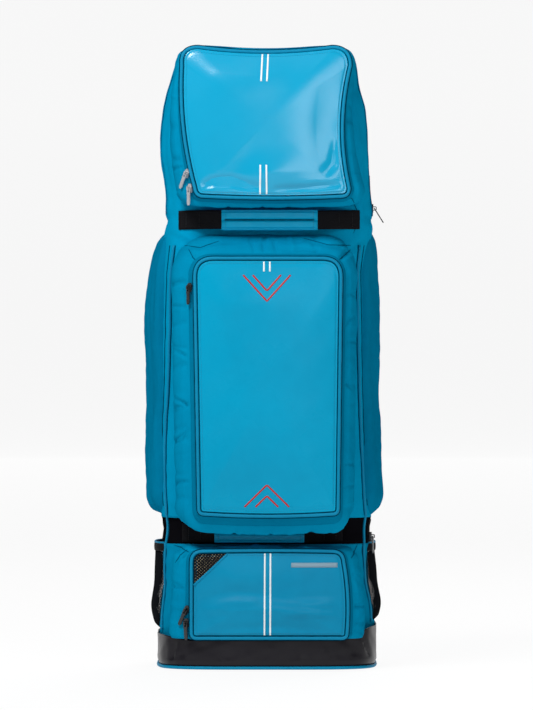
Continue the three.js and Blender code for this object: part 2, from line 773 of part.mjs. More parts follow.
function facePoint(pocket, p, share, layer) {
  const dome = 1 - share ** DOME_POWER;
  const dents = dentAt(pocket, p.x, p.z) * Math.min(1, DENT_FADE * (1 - share));
  const y = p.y - pocket.crown * (dome + dents) - layer;
  return new THREE.Vector3(p.x, y, p.z);
}

function faceLayer(pocket, layer) {
  const edge = pocketRing(pocket, 1, NO_SPREAD, -PIPING_RADIUS - GAP, 0);
  const middle = centreOf(edge);
  const rings = [1, ...PANEL_RINGS].map((share) => edge.map((p) => {
    const point = p.clone().lerp(middle, 1 - share);
    point.y = -faceDistance(pocket, point.z);
    return facePoint(pocket, point, share, layer);
  }));
  const centre = middle.clone();
  centre.y = -faceDistance(pocket, centre.z);
  return { rings, tip: facePoint(pocket, centre, 0, layer) };
}

function pocketPanel(pocket) {
  const front = faceLayer(pocket, PANEL_WALL / 2);
  const back = faceLayer(pocket, -PANEL_WALL / 2);
  return cappedLoft([...back.rings.reverse(), ...front.rings], back.tip, front.tip);
}

// The mesh vent fills the low pocket's upper left corner, cut off along a slanting line
function ventPrism(shrink) {
  const left = LOW_POCKET.shiftX - LOW_POCKET_WIDTH / 2;
  const top = LOW_POCKET.middleZ + LOW_POCKET_HEIGHT / 2;
  const outline = new THREE.Shape();
  outline.moveTo(left - VENT_WIDTH, top + VENT_HEIGHT);
  outline.lineTo(left - VENT_WIDTH, top - 2 * VENT_HEIGHT + 2 * shrink);
  outline.lineTo(left + 2 * VENT_WIDTH - 2 * shrink, top + VENT_HEIGHT);
  const depth = 4 * LOW_POCKET_DEPTH + 2 * BODY_HALF_DEPTH;
  const prism = new THREE.ExtrudeGeometry(outline, { depth, bevelEnabled: false });
  prism.rotateX(Math.PI / 2);
  return solidOf(prism);
}

function lowPanel() {
  return geometryOf(mainPiece(solidOf(pocketPanel(LOW_POCKET)).subtract(ventPrism(0))));
}

function lowVent() {
  return geometryOf(mainPiece(solidOf(pocketPanel(LOW_POCKET)).intersect(ventPrism(2 * GAP))));
}

// Side compartments. side is -1 on the left and 1 on the right.
function sideRing(part, side, z, rx, ry, fold) {
  const half = halves(part, z, 0);
  const centreX = side * ((side > 0 ? half.right : half.left) - SIDE_ROOT);
  return Array.from({ length: SIDE_POINTS }, (_, i) => {
    const angle = (2 * Math.PI * i) / SIDE_POINTS;
    const crease = fold * Math.cos(SIDE_FOLDS * angle) * Math.max(0, Math.cos(angle)) ** SIDE_FOLD_POWER;
    const x = centreX + side * (rx + crease) * signedPower(Math.cos(angle), SIDE_POWER);
    const y = ry * signedPower(Math.sin(angle), SIDE_DEPTH_POWER);
    return new THREE.Vector3(x, y, z);
  });
}

function sideForm(part, side, sizes, inset, topLift) {
  const rings = sizes.rows.map((row, k) => {
    const z = sizes.floor + row.up * sizes.height + (k === sizes.rows.length - 1 ? topLift : 0);
    const rx = SIDE_ROOT + row.out * sizes.bulge - inset;
    const ry = sizes.halfDepth * row.deep - inset;
    return sideRing(part, side, z, Math.max(rx, GAP), ry, sizes.fold);
  });
  if (inset > 0 && sizes.closedFoot) {
    rings[0].forEach((p) => { p.z += inset; });
  }
  return solidOf(cappedLoft(rings, centreOf(rings[0]), centreOf(rings[rings.length - 1])));
}

const SLEEVE_SIZES = {
  rows: SLEEVE_SECTIONS,
  floor: UPPER_BOTTOM + GAP,
  height: SLEEVE_HEIGHT,
  bulge: SLEEVE_BULGE,
  halfDepth: SLEEVE_HALF_DEPTH,
  fold: SLEEVE_FOLD,
  closedFoot: true,
};

function sleeve(side) {
  const outer = sideForm(UPPER, side, SLEEVE_SIZES, 0, 0);
  const inner = sideForm(UPPER, side, SLEEVE_SIZES, FABRIC_WALL, 0);
  return geometryOf(mainPiece(outer.subtract(inner).subtract(envelope(UPPER, GAP))));
}

function meshSizes(side) {
  const floor = BASE_HEIGHT + (side > 0 ? BASE_RISE_RIGHT : BASE_RISE_LEFT) + FABRIC_WALL;
  return {
    rows: MESH_SECTIONS,
    floor,
    height: LOWER_HEIGHT - ELASTIC_HEIGHT - GAP - floor,
    bulge: MESH_POCKET_BULGE,
    halfDepth: MESH_POCKET_HALF_DEPTH,
    fold: 0,
    closedFoot: true,
  };
}

function meshPocket(side) {
  const sizes = meshSizes(side);
  const outer = sideForm(LOWER, side, sizes, 0, 0);
  const inner = sideForm(LOWER, side, sizes, MESH_WALL, MESH_WALL);
  return geometryOf(mainPiece(outer.subtract(inner).subtract(envelope(LOWER, GAP))));
}

function elasticBand(side) {
  const mouth = MESH_SECTIONS[MESH_SECTIONS.length - 1];
  const bottom = LOWER_HEIGHT - ELASTIC_HEIGHT;
  const rx = SIDE_ROOT + mouth.out * MESH_POCKET_BULGE;
  const ry = MESH_POCKET_HALF_DEPTH * mouth.deep;
  const ringAt = (z, inset) => sideRing(LOWER, side, z, rx - inset, ry - inset, 0);
  const half = FABRIC_WALL / 2;
  const rings = [
    ringAt(bottom, -half),
    ringAt(LOWER_HEIGHT, -half),
    ringAt(LOWER_HEIGHT, half),
    ringAt(bottom, half),
  ];
  return geometryOf(mainPiece(solidOf(closedLoft(rings)).subtract(envelope(LOWER, GAP))));
}

// Edge piping, down the front corners of the bag and over the waist
function partAt(z) {
  if (z > UPPER_BOTTOM) {
    return UPPER;
  }
  return z > WAIST_BOTTOM ? WAIST : LOWER;
}

function edgePiping(side) {
  const rise = side > 0 ? BASE_RISE_RIGHT : BASE_RISE_LEFT;
  const foot = BASE_HEIGHT + rise + FABRIC_WALL + EDGE_PIPING_RADIUS;
  const points = EDGE_ROUTE.map((row) => {
    const z = THREE.MathUtils.lerp(foot, UPPER_BOTTOM + EDGE_PIPING_RISE, row.up);
    const half = halves(partAt(z), z, EDGE_PIPING_RADIUS + 2 * GAP);
    const turn = THREE.MathUtils.degToRad(side > 0 ? row.right : row.left);
    return sectionPoint(half, side > 0 ? -turn : Math.PI + turn, z);
  });
  const steps = points.length + EDGE_PIPING_EXTRA_STEPS;
  const tube = solidOf(tubeAlong(points, EDGE_PIPING_RADIUS, PIPING_SIDES, steps));
  return geometryOf(mainPiece(clearOfBody(tube)));
}

function clearOfBody(solid) {
  return [UPPER, WAIST, LOWER].reduce((rest, part) => rest.subtract(envelope(part, GAP)), solid);
}

// Handles: a webbing strap that leaves the bag, with a padded grip round its middle
const TOP_HANDLE = {
  on: UPPER,
  height: UPPER_BOTTOM + TOP_HANDLE_RISE,
  span: TOP_HANDLE_SPAN,
  shift: TOP_HANDLE_SHIFT,
  standoff: TOP_HANDLE_STANDOFF,
  gripLength: TOP_GRIP_LENGTH,
  gripWidth: TOP_GRIP_WIDTH,
  gripShift: TOP_GRIP_SHIFT,
};
const LOW_HANDLE = {
  on: WAIST,
  height: WAIST_BOTTOM + LOW_HANDLE_RISE,
  span: LOW_HANDLE_SPAN,
  shift: LOW_HANDLE_SHIFT,
  standoff: LOW_HANDLE_STANDOFF,
  gripLength: LOW_GRIP_LENGTH,
  gripWidth: LOW_GRIP_WIDTH,
  gripShift: LOW_GRIP_SHIFT,
};

function handleY(handle, x) {
  const surface = frontOf(handle.on, x, handle.height, GAP + WEBBING_THICKNESS / 2);
  const middle = handle.shift + handle.gripShift;
  const end = handle.span / 2 - HANDLE_SEAM;
  const fromGrip = Math.abs(x - middle) - handle.gripLength / 2;
  const run = end - handle.gripLength / 2 - Math.abs(handle.gripShift);
  const share = 1 - THREE.MathUtils.smoothstep(fromGrip, 0, run);
  const flat = halves(handle.on, handle.height, 0).front;
  return THREE.MathUtils.lerp(surface, flat + handle.standoff, share);
}

function handleStations(handle, low, high, count) {
  return Array.from({ length: count + 1 }, (_, i) => {
    const x = THREE.MathUtils.lerp(low, high, i / count);
    const ahead = handleY(handle, x + 1) - handleY(handle, x - 1);
    const outward = new THREE.Vector3(-ahead / 2, -1, 0).normalize();
    return { at: new THREE.Vector3(x, -handleY(handle, x), handle.height), outward };
  });
}

function strap(stations, halfThickness, halfWidth) {
  const corners = [[1, -1], [1, 1], [-1, 1], [-1, -1]];
  const rings = stations.map(({ at, outward }) => corners.map(([out, up]) => {
    const corner = at.clone().addScaledVector(outward, out * halfThickness);
    corner.z += up * halfWidth;
    return corner;
  }));
  return solidOf(cappedLoft(rings, centreOf(rings[0]), centreOf(rings[rings.length - 1])));
}

function webbing(handle) {
  const low = handle.shift - handle.span / 2;
  const stations = handleStations(handle, low, low + handle.span, STRAP_STEPS);
  const solid = strap(stations, WEBBING_THICKNESS / 2, WEBBING_WIDTH / 2);
  return geometryOf(mainPiece(clearOfBody(solid)));
}

function grip(handle) {
  const middle = handle.shift + handle.gripShift;
  const reach = handle.gripLength / 2;
  const stations = handleStations(handle, middle - reach, middle + reach, GRIP_STEPS);
  const rings = stations.map(({ at, outward }, k) => {
    const end = k === 0 || k === stations.length - 1 ? GRIP_END_SHARE : 1;
    return Array.from({ length: GRIP_SIDES }, (_, i) => {
      const angle = (2 * Math.PI * (i + 0.5)) / GRIP_SIDES;
      const out = signedPower(Math.cos(angle), GRIP_FACE_POWER) * GRIP_THICKNESS / 2;
      const up = signedPower(Math.sin(angle), GRIP_EDGE_POWER) * handle.gripWidth / 2;
      const point = at.clone().addScaledVector(outward, out * end);
      point.z += up * end;
      return point;
    });
  });
  const outer = solidOf(cappedLoft(rings, centreOf(rings[0]), centreOf(rings[rings.length - 1])));
  const low = handle.shift - handle.span / 2;
  const core = handleStations(handle, low, low + handle.span, STRAP_STEPS);
  const bore = strap(core, WEBBING_THICKNESS / 2 + GAP, WEBBING_WIDTH / 2 + GAP);
  return geometryOf(mainPiece(outer.subtract(bore)));
}

// Side zip: a short strip of tape on the waist's right front corner
function sideZip() {
  const turn = THREE.MathUtils.degToRad(SIDE_ZIP_TURN);
  const spread = SIDE_ZIP_WIDTH / 2 / BODY_HALF_WIDTH;
  const ringAt = (z) => [[-1, 1], [1, 1], [1, 0], [-1, 0]].map(([along, out]) => {
    const offset = out ? 2 * GAP + SIDE_ZIP_THICKNESS : -SIDE_ZIP_ROOT;
    return sectionPoint(halves(WAIST, z, offset), -turn - along * spread * SIDE_ZIP_SPREAD, z);
  });
  const middle = WAIST_BOTTOM + WAIST_HEIGHT / 2;
  const levels = [-1, 0, 1].map((k) => middle + k * SIDE_ZIP_LENGTH / 2);
  const rings = levels.map(ringAt);
  const solid = solidOf(cappedLoft(rings, centreOf(rings[0]), centreOf(rings[2])));
  return geometryOf(mainPiece(solid.subtract(envelope(WAIST, GAP))));
}

// Zip pulls, in their own frame: x along the hinge, y along the tab away from the hinge and
// z away from the bag, with the hinge at the origin
const HINGE_RISE = TAB_THICKNESS / 2 + TAB_CLEARANCE + GAP;

function sliderForm() {
  const body = new THREE.Shape();
  const halfLength = SLIDER_LENGTH / 2;
  const halfWidth = SLIDER_WIDTH / 2;
  const nose = halfWidth * SLIDER_NOSE_SHARE;
  const tail = halfWidth * SLIDER_TAIL_SHARE;
  const shoulder = halfLength * SLIDER_NOSE_SHARE;
  body.moveTo(-halfWidth, -shoulder);
  body.lineTo(-nose, -halfLength);
  body.lineTo(nose, -halfLength);
  body.lineTo(halfWidth, -shoulder);
  body.lineTo(tail, halfLength);
  body.lineTo(-tail, halfLength);
  const plate = new THREE.ExtrudeGeometry(body, { depth: SLIDER_THICKNESS, bevelEnabled: false });
  plate.translate(0, 0, -HINGE_RISE - SLIDER_THICKNESS);
  const arch = new THREE.Shape();
  const reach = BAIL_LENGTH / 2 + BAIL_BAR;
  arch.moveTo(-reach, -SLIDER_THICKNESS / 2);
  arch.lineTo(-reach, BAIL_RISE);
  arch.lineTo(-reach + BAIL_BAR, BAIL_RISE + BAIL_BAR);
  arch.lineTo(reach - BAIL_BAR, BAIL_RISE + BAIL_BAR);
  arch.lineTo(reach, BAIL_RISE);
  arch.lineTo(reach, -SLIDER_THICKNESS / 2);
  arch.lineTo(reach - BAIL_BAR, -SLIDER_THICKNESS / 2);
  arch.lineTo(reach - BAIL_BAR, BAIL_RISE);
  arch.lineTo(-reach + BAIL_BAR, BAIL_RISE);
  arch.lineTo(-reach + BAIL_BAR, -SLIDER_THICKNESS / 2);
  const bail = new THREE.ExtrudeGeometry(arch, { depth: BAIL_WIDTH, bevelEnabled: false });
  bail.translate(0, 0, -BAIL_WIDTH / 2);
  bail.rotateX(Math.PI / 2);
  bail.rotateZ(Math.PI / 2);
  bail.translate(0, 0, -HINGE_RISE);
  return geometryOf(solidOf(plate).add(solidOf(bail)));
}

function tabForm() {
  const halfEye = TAB_WIDTH / 2;
  const halfTip = TAB_WIDTH * TAB_TIP_SHARE;
  const start = -TAB_CROSSBAR / 2;
  const windowEnd = BAIL_LENGTH / 2 + BAIL_BAR + BAIL_RISE / 2 + TAB_CLEARANCE;
  const outline = new THREE.Shape();
  outline.moveTo(-halfEye, start);
  outline.lineTo(halfEye, start);
  outline.lineTo(halfEye, windowEnd + TAB_CROSSBAR);
  outline.lineTo(halfTip, windowEnd + 2 * TAB_CROSSBAR);
  outline.lineTo(halfTip, TAB_LENGTH - halfTip);
  outline.lineTo(halfTip / 2, TAB_LENGTH);
  outline.lineTo(-halfTip / 2, TAB_LENGTH);
  outline.lineTo(-halfTip, TAB_LENGTH - halfTip);
  outline.lineTo(-halfTip, windowEnd + 2 * TAB_CROSSBAR);
  outline.lineTo(-halfEye, windowEnd + TAB_CROSSBAR);
  const halfWindow = BAIL_WIDTH / 2 + TAB_CLEARANCE;
  const eye = new THREE.Path();
  eye.moveTo(-halfWindow, TAB_CROSSBAR / 2);
  eye.lineTo(-halfWindow, windowEnd);
  eye.lineTo(halfWindow, windowEnd);
  eye.lineTo(halfWindow, TAB_CROSSBAR / 2);
  outline.holes.push(eye);
  const plate = new THREE.ExtrudeGeometry(outline, { depth: TAB_THICKNESS, bevelEnabled: false });
  plate.translate(0, 0, -TAB_THICKNESS / 2);
  return plate;
}

function ringCrossing(ring, z, side) {
  let best = null;
  ring.forEach((p, i) => {
    const q = ring[(i + 1) % ring.length];
    if ((p.z - z) * (q.z - z) <= 0 && p.z !== q.z) {
      const point = p.clone().lerp(q, (z - p.z) / (q.z - p.z));
      if (best === null || side * point.x > side * best.x) {
        best = point;
      }
    }
  });
  return best;
}

// The middle of a pocket's zip at a height, and the way it faces
function zipSeat(pocket, z, side) {
  const [back, front] = zipRings(pocket, FABRIC_WALL / 2).map((ring) => ringCrossing(ring, z, side));
  const along = front.clone().sub(back);
  const outward = new THREE.Vector3(side * -along.y, side * along.x, 0).normalize();
  return { at: front.clone().lerp(back, ZIP_SEAT_SHARE), outward };
}

function bodySeat(part, z, angle, offset) {
  const at = sectionPoint(halves(part, z, offset), angle, z);
  const near = sectionPoint(halves(part, z, offset), angle + SMALL_TURN, z);
  const along = near.sub(at);
  return { at, outward: new THREE.Vector3(along.y, -along.x, 0).normalize() };
}

// Places a pull so that its slider sits on the seat. tilt turns it in the plane of the seat.
function placePull(group, seat, tilt) {
  const down = new THREE.Vector3(0, 0, -1);
  const sideways = new THREE.Vector3().crossVectors(down, seat.outward).normalize();
  const turn = THREE.MathUtils.degToRad(tilt);
  const along = down.multiplyScalar(Math.cos(turn)).addScaledVector(sideways, Math.sin(turn));
  const hinge = new THREE.Vector3().crossVectors(along, seat.outward).normalize();
  group.matrixAutoUpdate = false;
  group.matrix.makeBasis(hinge, along, seat.outward);
  const rise = HINGE_RISE + SLIDER_THICKNESS + PULL_STANDOFF;
  group.matrix.setPosition(seat.at.clone().addScaledVector(seat.outward, rise));
}

function mainZipSeat() {
  const z = MAIN_ZIP_END + MAIN_PULL_RISE;
  const half = halves(UPPER, z, 0);
  const share = MAIN_ZIP_SETBACK / half.front;
  const x = half.right * (1 - share ** CORNER_POWER) ** (1 / CORNER_POWER) + MAIN_PULL_STANDOFF;
  const at = new THREE.Vector3(x, -MAIN_ZIP_SETBACK, z);
  return { at, outward: new THREE.Vector3(1, 0, 0) };
}

function sideZipSeat() {
  const turn = THREE.MathUtils.degToRad(SIDE_ZIP_TURN);
  const z = WAIST_BOTTOM + SIDE_PULL_RISE;
  return bodySeat(WAIST, z, -turn, 2 * GAP + SIDE_ZIP_THICKNESS);
}

// Materials
const BLUE_FABRIC = { color: 0x0e87b4, roughness: 0.8, metalness: 0 };
const BLUE_COATED = { color: 0x0497c9, roughness: 0.42, metalness: 0 };
const BLUE_PIPING = { color: 0x1a9bc8, roughness: 0.5, metalness: 0 };
const ZIP_TAPE = { color: 0x04628c, roughness: 0.7, metalness: 0 };
const BLACK_FABRIC = { color: 0x100e11, roughness: 0.9, metalness: 0 };
const BLACK_COATED = { color: 0x221f26, roughness: 0.4, metalness: 0 };
const BLACK_MESH = { color: 0x0b2030, roughness: 0.9, metalness: 0 };
const SILVER_METAL = { color: 0xb9bcc2, roughness: 0.3, metalness: 1 };
const BLACK_METAL = { color: 0x1a1a1d, roughness: 0.35, metalness: 1 };

// Assembly
const bag = new THREE.Group();
bag.name = 'cricket_kit_bag';

function addPiece(name, geometry, finish, parent = bag) {
  const mesh = new THREE.Mesh(geometry, new THREE.MeshStandardMaterial({ ...finish, name }));
  mesh.name = name;
  parent.add(mesh);
  return mesh;
}

// lift is how far the tab stands off the bag, in degrees round its hinge
function addPull(name, seat, tilt, finish, lift = 0) {
  const pull = new THREE.Group();
  placePull(pull, seat, tilt);
  bag.add(pull);
  addPiece(`${name}_slider`, sliderForm(), finish, pull);
  addPiece(`${name}_tab`, tabForm(), finish, pull).rotation.x = THREE.MathUtils.degToRad(lift);
}

addPiece('upper_body', upperBody(), BLUE_FABRIC);
addPiece('waist_band', waistBand(), BLACK_FABRIC);
addPiece('lower_body', lowerBody(), BLUE_FABRIC);
addPiece('base_wrap', baseWrap(), BLACK_COATED);
addPiece('base_piping', basePiping(), BLUE_PIPING);
addPiece('main_zip', mainZip(), ZIP_TAPE);
addPiece('side_zip', sideZip(), BLACK_FABRIC);

const POCKETS = [['top_pocket', TOP_POCKET], ['mid_pocket', MID_POCKET], ['low_pocket', LOW_POCKET]];
POCKETS.forEach(([name, pocket]) => {
  addPiece(`${name}_gusset`, pocketGusset(pocket), BLUE_FABRIC);
  addPiece(`${name}_zip`, pocketZip(pocket), ZIP_TAPE);
  addPiece(`${name}_piping`, pocketPiping(pocket), BLUE_PIPING);
});
addPiece('top_pocket_panel', pocketPanel(TOP_POCKET), BLUE_COATED);
addPiece('mid_pocket_panel', pocketPanel(MID_POCKET), BLUE_COATED);
addPiece('low_pocket_panel', lowPanel(), BLUE_COATED);
addPiece('low_pocket_vent', lowVent(), BLACK_MESH);

[['left', -1], ['right', 1]].forEach(([name, side]) => {
  addPiece(`${name}_sleeve`, sleeve(side), BLUE_FABRIC);
  addPiece(`${name}_mesh_pocket`, meshPocket(side), BLACK_MESH);
  addPiece(`${name}_elastic_band`, elasticBand(side), BLACK_FABRIC);
  addPiece(`${name}_edge_piping`, edgePiping(side), BLUE_PIPING);
});

[['top_handle', TOP_HANDLE], ['low_handle', LOW_HANDLE]].forEach(([name, handle]) => {
  addPiece(`${name}_webbing`, webbing(handle), BLACK_FABRIC);
  addPiece(`${name}_grip`, grip(handle), BLUE_FABRIC);
});

const topFoot = TOP_POCKET.middleZ - TOP_POCKET_HEIGHT / 2;
const midTop = MID_POCKET.middleZ + MID_POCKET_HEIGHT / 2;
const lowFoot = LOW_POCKET.middleZ - LOW_POCKET_HEIGHT / 2;
const topUpperSeat = zipSeat(TOP_POCKET, topFoot + TOP_UPPER_PULL_RISE, -1);
const topLowerSeat = zipSeat(TOP_POCKET, topFoot + TOP_LOWER_PULL_RISE, -1);
const midSeat = zipSeat(MID_POCKET, midTop - MID_PULL_DROP, -1);
const lowUpperSeat = zipSeat(LOW_POCKET, lowFoot + LOW_UPPER_PULL_RISE, -1);
const lowLowerSeat = zipSeat(LOW_POCKET, lowFoot + LOW_LOWER_PULL_RISE, -1);
addPull('top_upper', topUpperSeat, TOP_UPPER_PULL_TILT, SILVER_METAL);
addPull('top_lower', topLowerSeat, 0, SILVER_METAL);
addPull('mid', midSeat, 0, BLACK_METAL);
addPull('low_upper', lowUpperSeat, LOW_UPPER_PULL_TILT, BLACK_METAL);
addPull('low_lower', lowLowerSeat, LOW_LOWER_PULL_TILT, BLACK_METAL);
addPull('main', mainZipSeat(), 0, BLACK_METAL, MAIN_PULL_LIFT);
addPull('side', sideZipSeat(), 0, BLACK_METAL);

export default bag;
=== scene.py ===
"""Dresses the standing cricket kit bag in cloth, coated panels, piping, net, webbing and zips.

Lengths are in millimetres inside the classes and become metres when a mesh is made. The frame is
the part's own: +Z up, the front towards -Y, the origin in the middle of the base's underside.
"""

import logging
import math
from collections.abc import Callable, Sequence
from dataclasses import dataclass, field
from enum import Enum

import bpy
import numpy as np
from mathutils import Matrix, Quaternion, Vector
from mathutils.bvhtree import BVHTree

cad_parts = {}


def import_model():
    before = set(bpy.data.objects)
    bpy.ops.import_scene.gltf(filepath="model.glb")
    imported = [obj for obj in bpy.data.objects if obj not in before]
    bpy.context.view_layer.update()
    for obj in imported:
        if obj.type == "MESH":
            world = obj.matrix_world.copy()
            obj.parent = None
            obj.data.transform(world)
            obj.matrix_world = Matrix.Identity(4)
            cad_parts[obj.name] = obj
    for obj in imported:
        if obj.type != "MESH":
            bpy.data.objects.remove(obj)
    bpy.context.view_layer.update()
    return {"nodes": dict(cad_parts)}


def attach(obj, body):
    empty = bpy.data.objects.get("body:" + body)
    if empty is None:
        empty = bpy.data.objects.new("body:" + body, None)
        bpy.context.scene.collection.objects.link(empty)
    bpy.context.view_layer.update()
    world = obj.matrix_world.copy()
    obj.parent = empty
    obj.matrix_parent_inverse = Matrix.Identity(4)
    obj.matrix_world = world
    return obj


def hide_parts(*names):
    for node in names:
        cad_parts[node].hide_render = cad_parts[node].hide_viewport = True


LOG = logging.getLogger("kit_bag")

MM = 0.001
BODY = "bag"
GAP = 0.3
HALF_WIDTH = 160.0
HALF_DEPTH = 112.0
CORNER_POWER = 4.5
FABRIC_WALL = 2.5
HALF_WALL = FABRIC_WALL / 2
LOWER_FLOOR = 2.3
LOWER_TOP = 182.0
WAIST_FLOOR = 182.3
UPPER_FLOOR = 220.6
UPPER_HEIGHT = 699.0
BAG_TOP = UPPER_FLOOR + UPPER_HEIGHT
BASE_HEIGHT = 43.0
LEFT_RISE = 7.0
RIGHT_RISE = 19.0
PIPING_RADIUS = 2.5
ZIP_SHARE = 0.16
ZIP_FLARE = (0.24, 0.14, 0.5)
PHOTO_ROWS = 710
FOLD_STRENGTH = 1.7
FOLD_ENDS = 0.15
BASE_CLEARANCE = 46.0
RAY_START = 400.0
UPWARD = (0.0, 0.0, 1.0)
FORWARD = (0.0, -1.0, 0.0)
BACKWARD = (0.0, 1.0, 0.0)

Array = np.ndarray
Rows = tuple[tuple[float, ...], ...]
Faces = list[tuple[int, ...]]


class Side(Enum):
    """A side of the bag, seen from its front."""

    LEFT = -1
    RIGHT = 1


class Slot(Enum):
    """The record's material slots, one of which each finish names."""

    BLUE_FABRIC = "blue_fabric"
    BLUE_COATED = "blue_coated"
    BLUE_PIPING = "blue_piping"
    BLUE_ZIP = "blue_zip_tape"
    BLUE_GRIP = "blue_grip"
    BLACK_FABRIC = "black_fabric"
    BLACK_WEBBING = "black_webbing"
    BLACK_ZIP = "black_zip_tape"
    BLACK_COATED = "black_coated"
    BLACK_MESH = "black_mesh"
    SILVER = "silver_metal"
    BLACK_METAL = "black_metal"


# Finishes


class NodeBench:
    """A material under construction, with short calls for its nodes."""

    def __init__(self, name: str) -> None:
        """Starts an empty material that has one Principled shader.

        Args:
            name: The material's name.
        """
        self.material = bpy.data.materials.new(name)
        self.material.use_nodes = True
        self.tree = self.material.node_tree
        self.shader = self.tree.nodes["Principled BSDF"]
        self.place = self.add("ShaderNodeTexCoord").outputs["Object"]

    def add(self, kind: str, **settings: object) -> bpy.types.Node:
        """Adds a node.

        Args:
            kind: The node's type name.
            settings: Its properties.

        Returns:
            The new node.
        """
        node = self.tree.nodes.new(kind)
        for key, value in settings.items():
            setattr(node, key, value)
        return node

    def link(self, source: object, target: object) -> None:
        """Joins an output to an input."""
        self.tree.links.new(source, target)

    def feed(self, socket: object, value: object) -> None:
        """Gives an input a number, a colour or another node's output.

        Args:
            socket: The input.
            value: What it gets.
        """
        if isinstance(value, (int, float, tuple)):
            socket.default_value = value
        else:
            self.link(value, socket)

    def math(self, operation: str, first: object, second: object = 0.0) -> object:
        """Adds a Math node.

        Args:
            operation: The operation's name.
            first: A number or an output.
            second: A number or an output.

        Returns:
            The node's output.
        """
        node = self.add("ShaderNodeMath", operation=operation)
        self.feed(node.inputs[0], first)
        self.feed(node.inputs[1], second)
        return node.outputs[0]

    def noise(self, scale: float, detail: float = 3.0) -> object:
        """Adds a noise in the shared frame.

        Args:
            scale: How many features there are in a metre.
            detail: How many finer layers it has.

        Returns:
            The noise from 0 to 1.
        """
        node = self.add("ShaderNodeTexNoise")
        node.inputs["Scale"].default_value = scale
        node.inputs["Detail"].default_value = detail
        self.link(self.place, node.inputs["Vector"])
        return node.outputs["Fac"]

    def spread(self, value: object, low: float, high: float) -> object:
        """Maps 0..1 to low..high.

        Args:
            value: The output to map.
            low: What 0 becomes.
            high: What 1 becomes.

        Returns:
            The mapped output.
        """
        node = self.add("ShaderNodeMapRange")
        self.link(value, node.inputs["Value"])
        node.inputs["To Min"].default_value = low
        node.inputs["To Max"].default_value = high
        return node.outputs["Result"]

    def mix(self, share: object, first: Sequence[float], second: Sequence[float]) -> object:
        """Mixes two colours.

        Args:
            share: A number or an output from 0 to 1.
            first: The colour at 0.
            second: The colour at 1.

        Returns:
            The mixed colour.
        """
        node = self.add("ShaderNodeMix", data_type="RGBA")
        self.feed(node.inputs["Factor"], share)
        for name, colour in (("A", first), ("B", second)):
            socket = [s for s in node.inputs if s.name == name and s.type == "RGBA"][0]
            socket.default_value = (*colour, 1.0)
        return [s for s in node.outputs if s.type == "RGBA"][0]

    def bump(self, height: object, strength: float, distance: float, after: object = None) -> object:
        """Adds a bump.

        Args:
            height: The height from 0 to 1.
            strength: How strongly it shows.
            distance: The height in metres that 1 stands for.
            after: A normal that it is added to.

        Returns:
            The bumped normal.
        """
        node = self.add("ShaderNodeBump")
        node.inputs["Strength"].default_value = strength
        node.inputs["Distance"].default_value = distance
        self.link(height, node.inputs["Height"])
        if after is not None:
            self.link(after, node.inputs["Normal"])
        return node.outputs["Normal"]

    def place_parts(self) -> object:
        """The place's X, Y and Z as outputs.

        Returns:
            The outputs, by their letters.
        """
        split = self.add("ShaderNodeSeparateXYZ")
        self.link(self.place, split.inputs[0])
        return split.outputs

    def waves(self, along: object, pitch: float) -> object:
        """A sine along an output, with its period in metres."""
        return self.math("SINE", self.math("MULTIPLY", along, 2 * math.pi / pitch))

    def threads(self, pitch: float) -> object:
        """A plain weave in the shared frame.

        Args:
            pitch: The distance between threads in metres.

        Returns:
            The weave's height from 0 to 1.
        """
        place = self.place_parts()
        columns = self.waves(self.math("ADD", place["X"], place["Y"]), pitch)
        rows = self.waves(place["Z"], pitch)
        return self.spread(self.math("MULTIPLY", columns, rows), 0.0, 1.0)

    def set(self, **values: object) -> None:
        """Gives the shader's inputs values or outputs, by their names with _ for a space."""
        for name, value in values.items():
            self.feed(self.shader.inputs[name.replace("_", " ")], value)


@dataclass(frozen=True)
class Finish:
    """What every finish has."""

    name: str
    slot: Slot
    colour: tuple[float, float, float]
    shade: tuple[float, float, float]
    roughness: float = 0.7

    def colour_into(self, bench: NodeBench) -> None:
        """Mixes the colour and its darker shade over broad soft patches.

        Args:
            bench: The material's nodes.
        """
        patches = bench.math("ADD", bench.noise(7.0, 2.0), bench.math("MULTIPLY", bench.noise(60.0), 0.35))
        share = bench.spread(patches, -0.35, 0.95)
        bench.set(Base_Color=bench.mix(share, self.colour, self.shade))

    def material(self) -> bpy.types.Material:
        """Makes the material, or finds it if it was made.

        Returns:
            The material.
        """
        made = bpy.data.materials.get(self.name)
        if made:
            return made
        bench = NodeBench(self.name)
        self.colour_into(bench)
        self.surface_into(bench)
        return bench.material

    def surface_into(self, bench: NodeBench) -> None:
        """Sets the shine."""
        bench.set(Roughness=self.roughness)


@dataclass(frozen=True)
class Woven(Finish):
    """A woven cloth with a fine weave and small soft creases."""

    pitch: float = 0.0011
    weave: float = 0.3
    crease: float = 0.4
    specular: float = 0.0

    def surface_into(self, bench: NodeBench) -> None:
        """Sets the shine and the relief.

        Args:
            bench: The material's nodes.
        """
        rough = bench.spread(bench.noise(45.0), self.roughness - 0.06, self.roughness + 0.08)
        bench.set(Roughness=rough, Specular_IOR_Level=self.specular)
        swelled = bench.bump(bench.noise(15.0, 2.0), self.crease, 0.008)
        creased = bench.bump(bench.noise(42.0, 4.0), self.crease, 0.0024, swelled)
        bench.set(Normal=bench.bump(bench.threads(self.pitch), self.weave, 0.00025, creased))


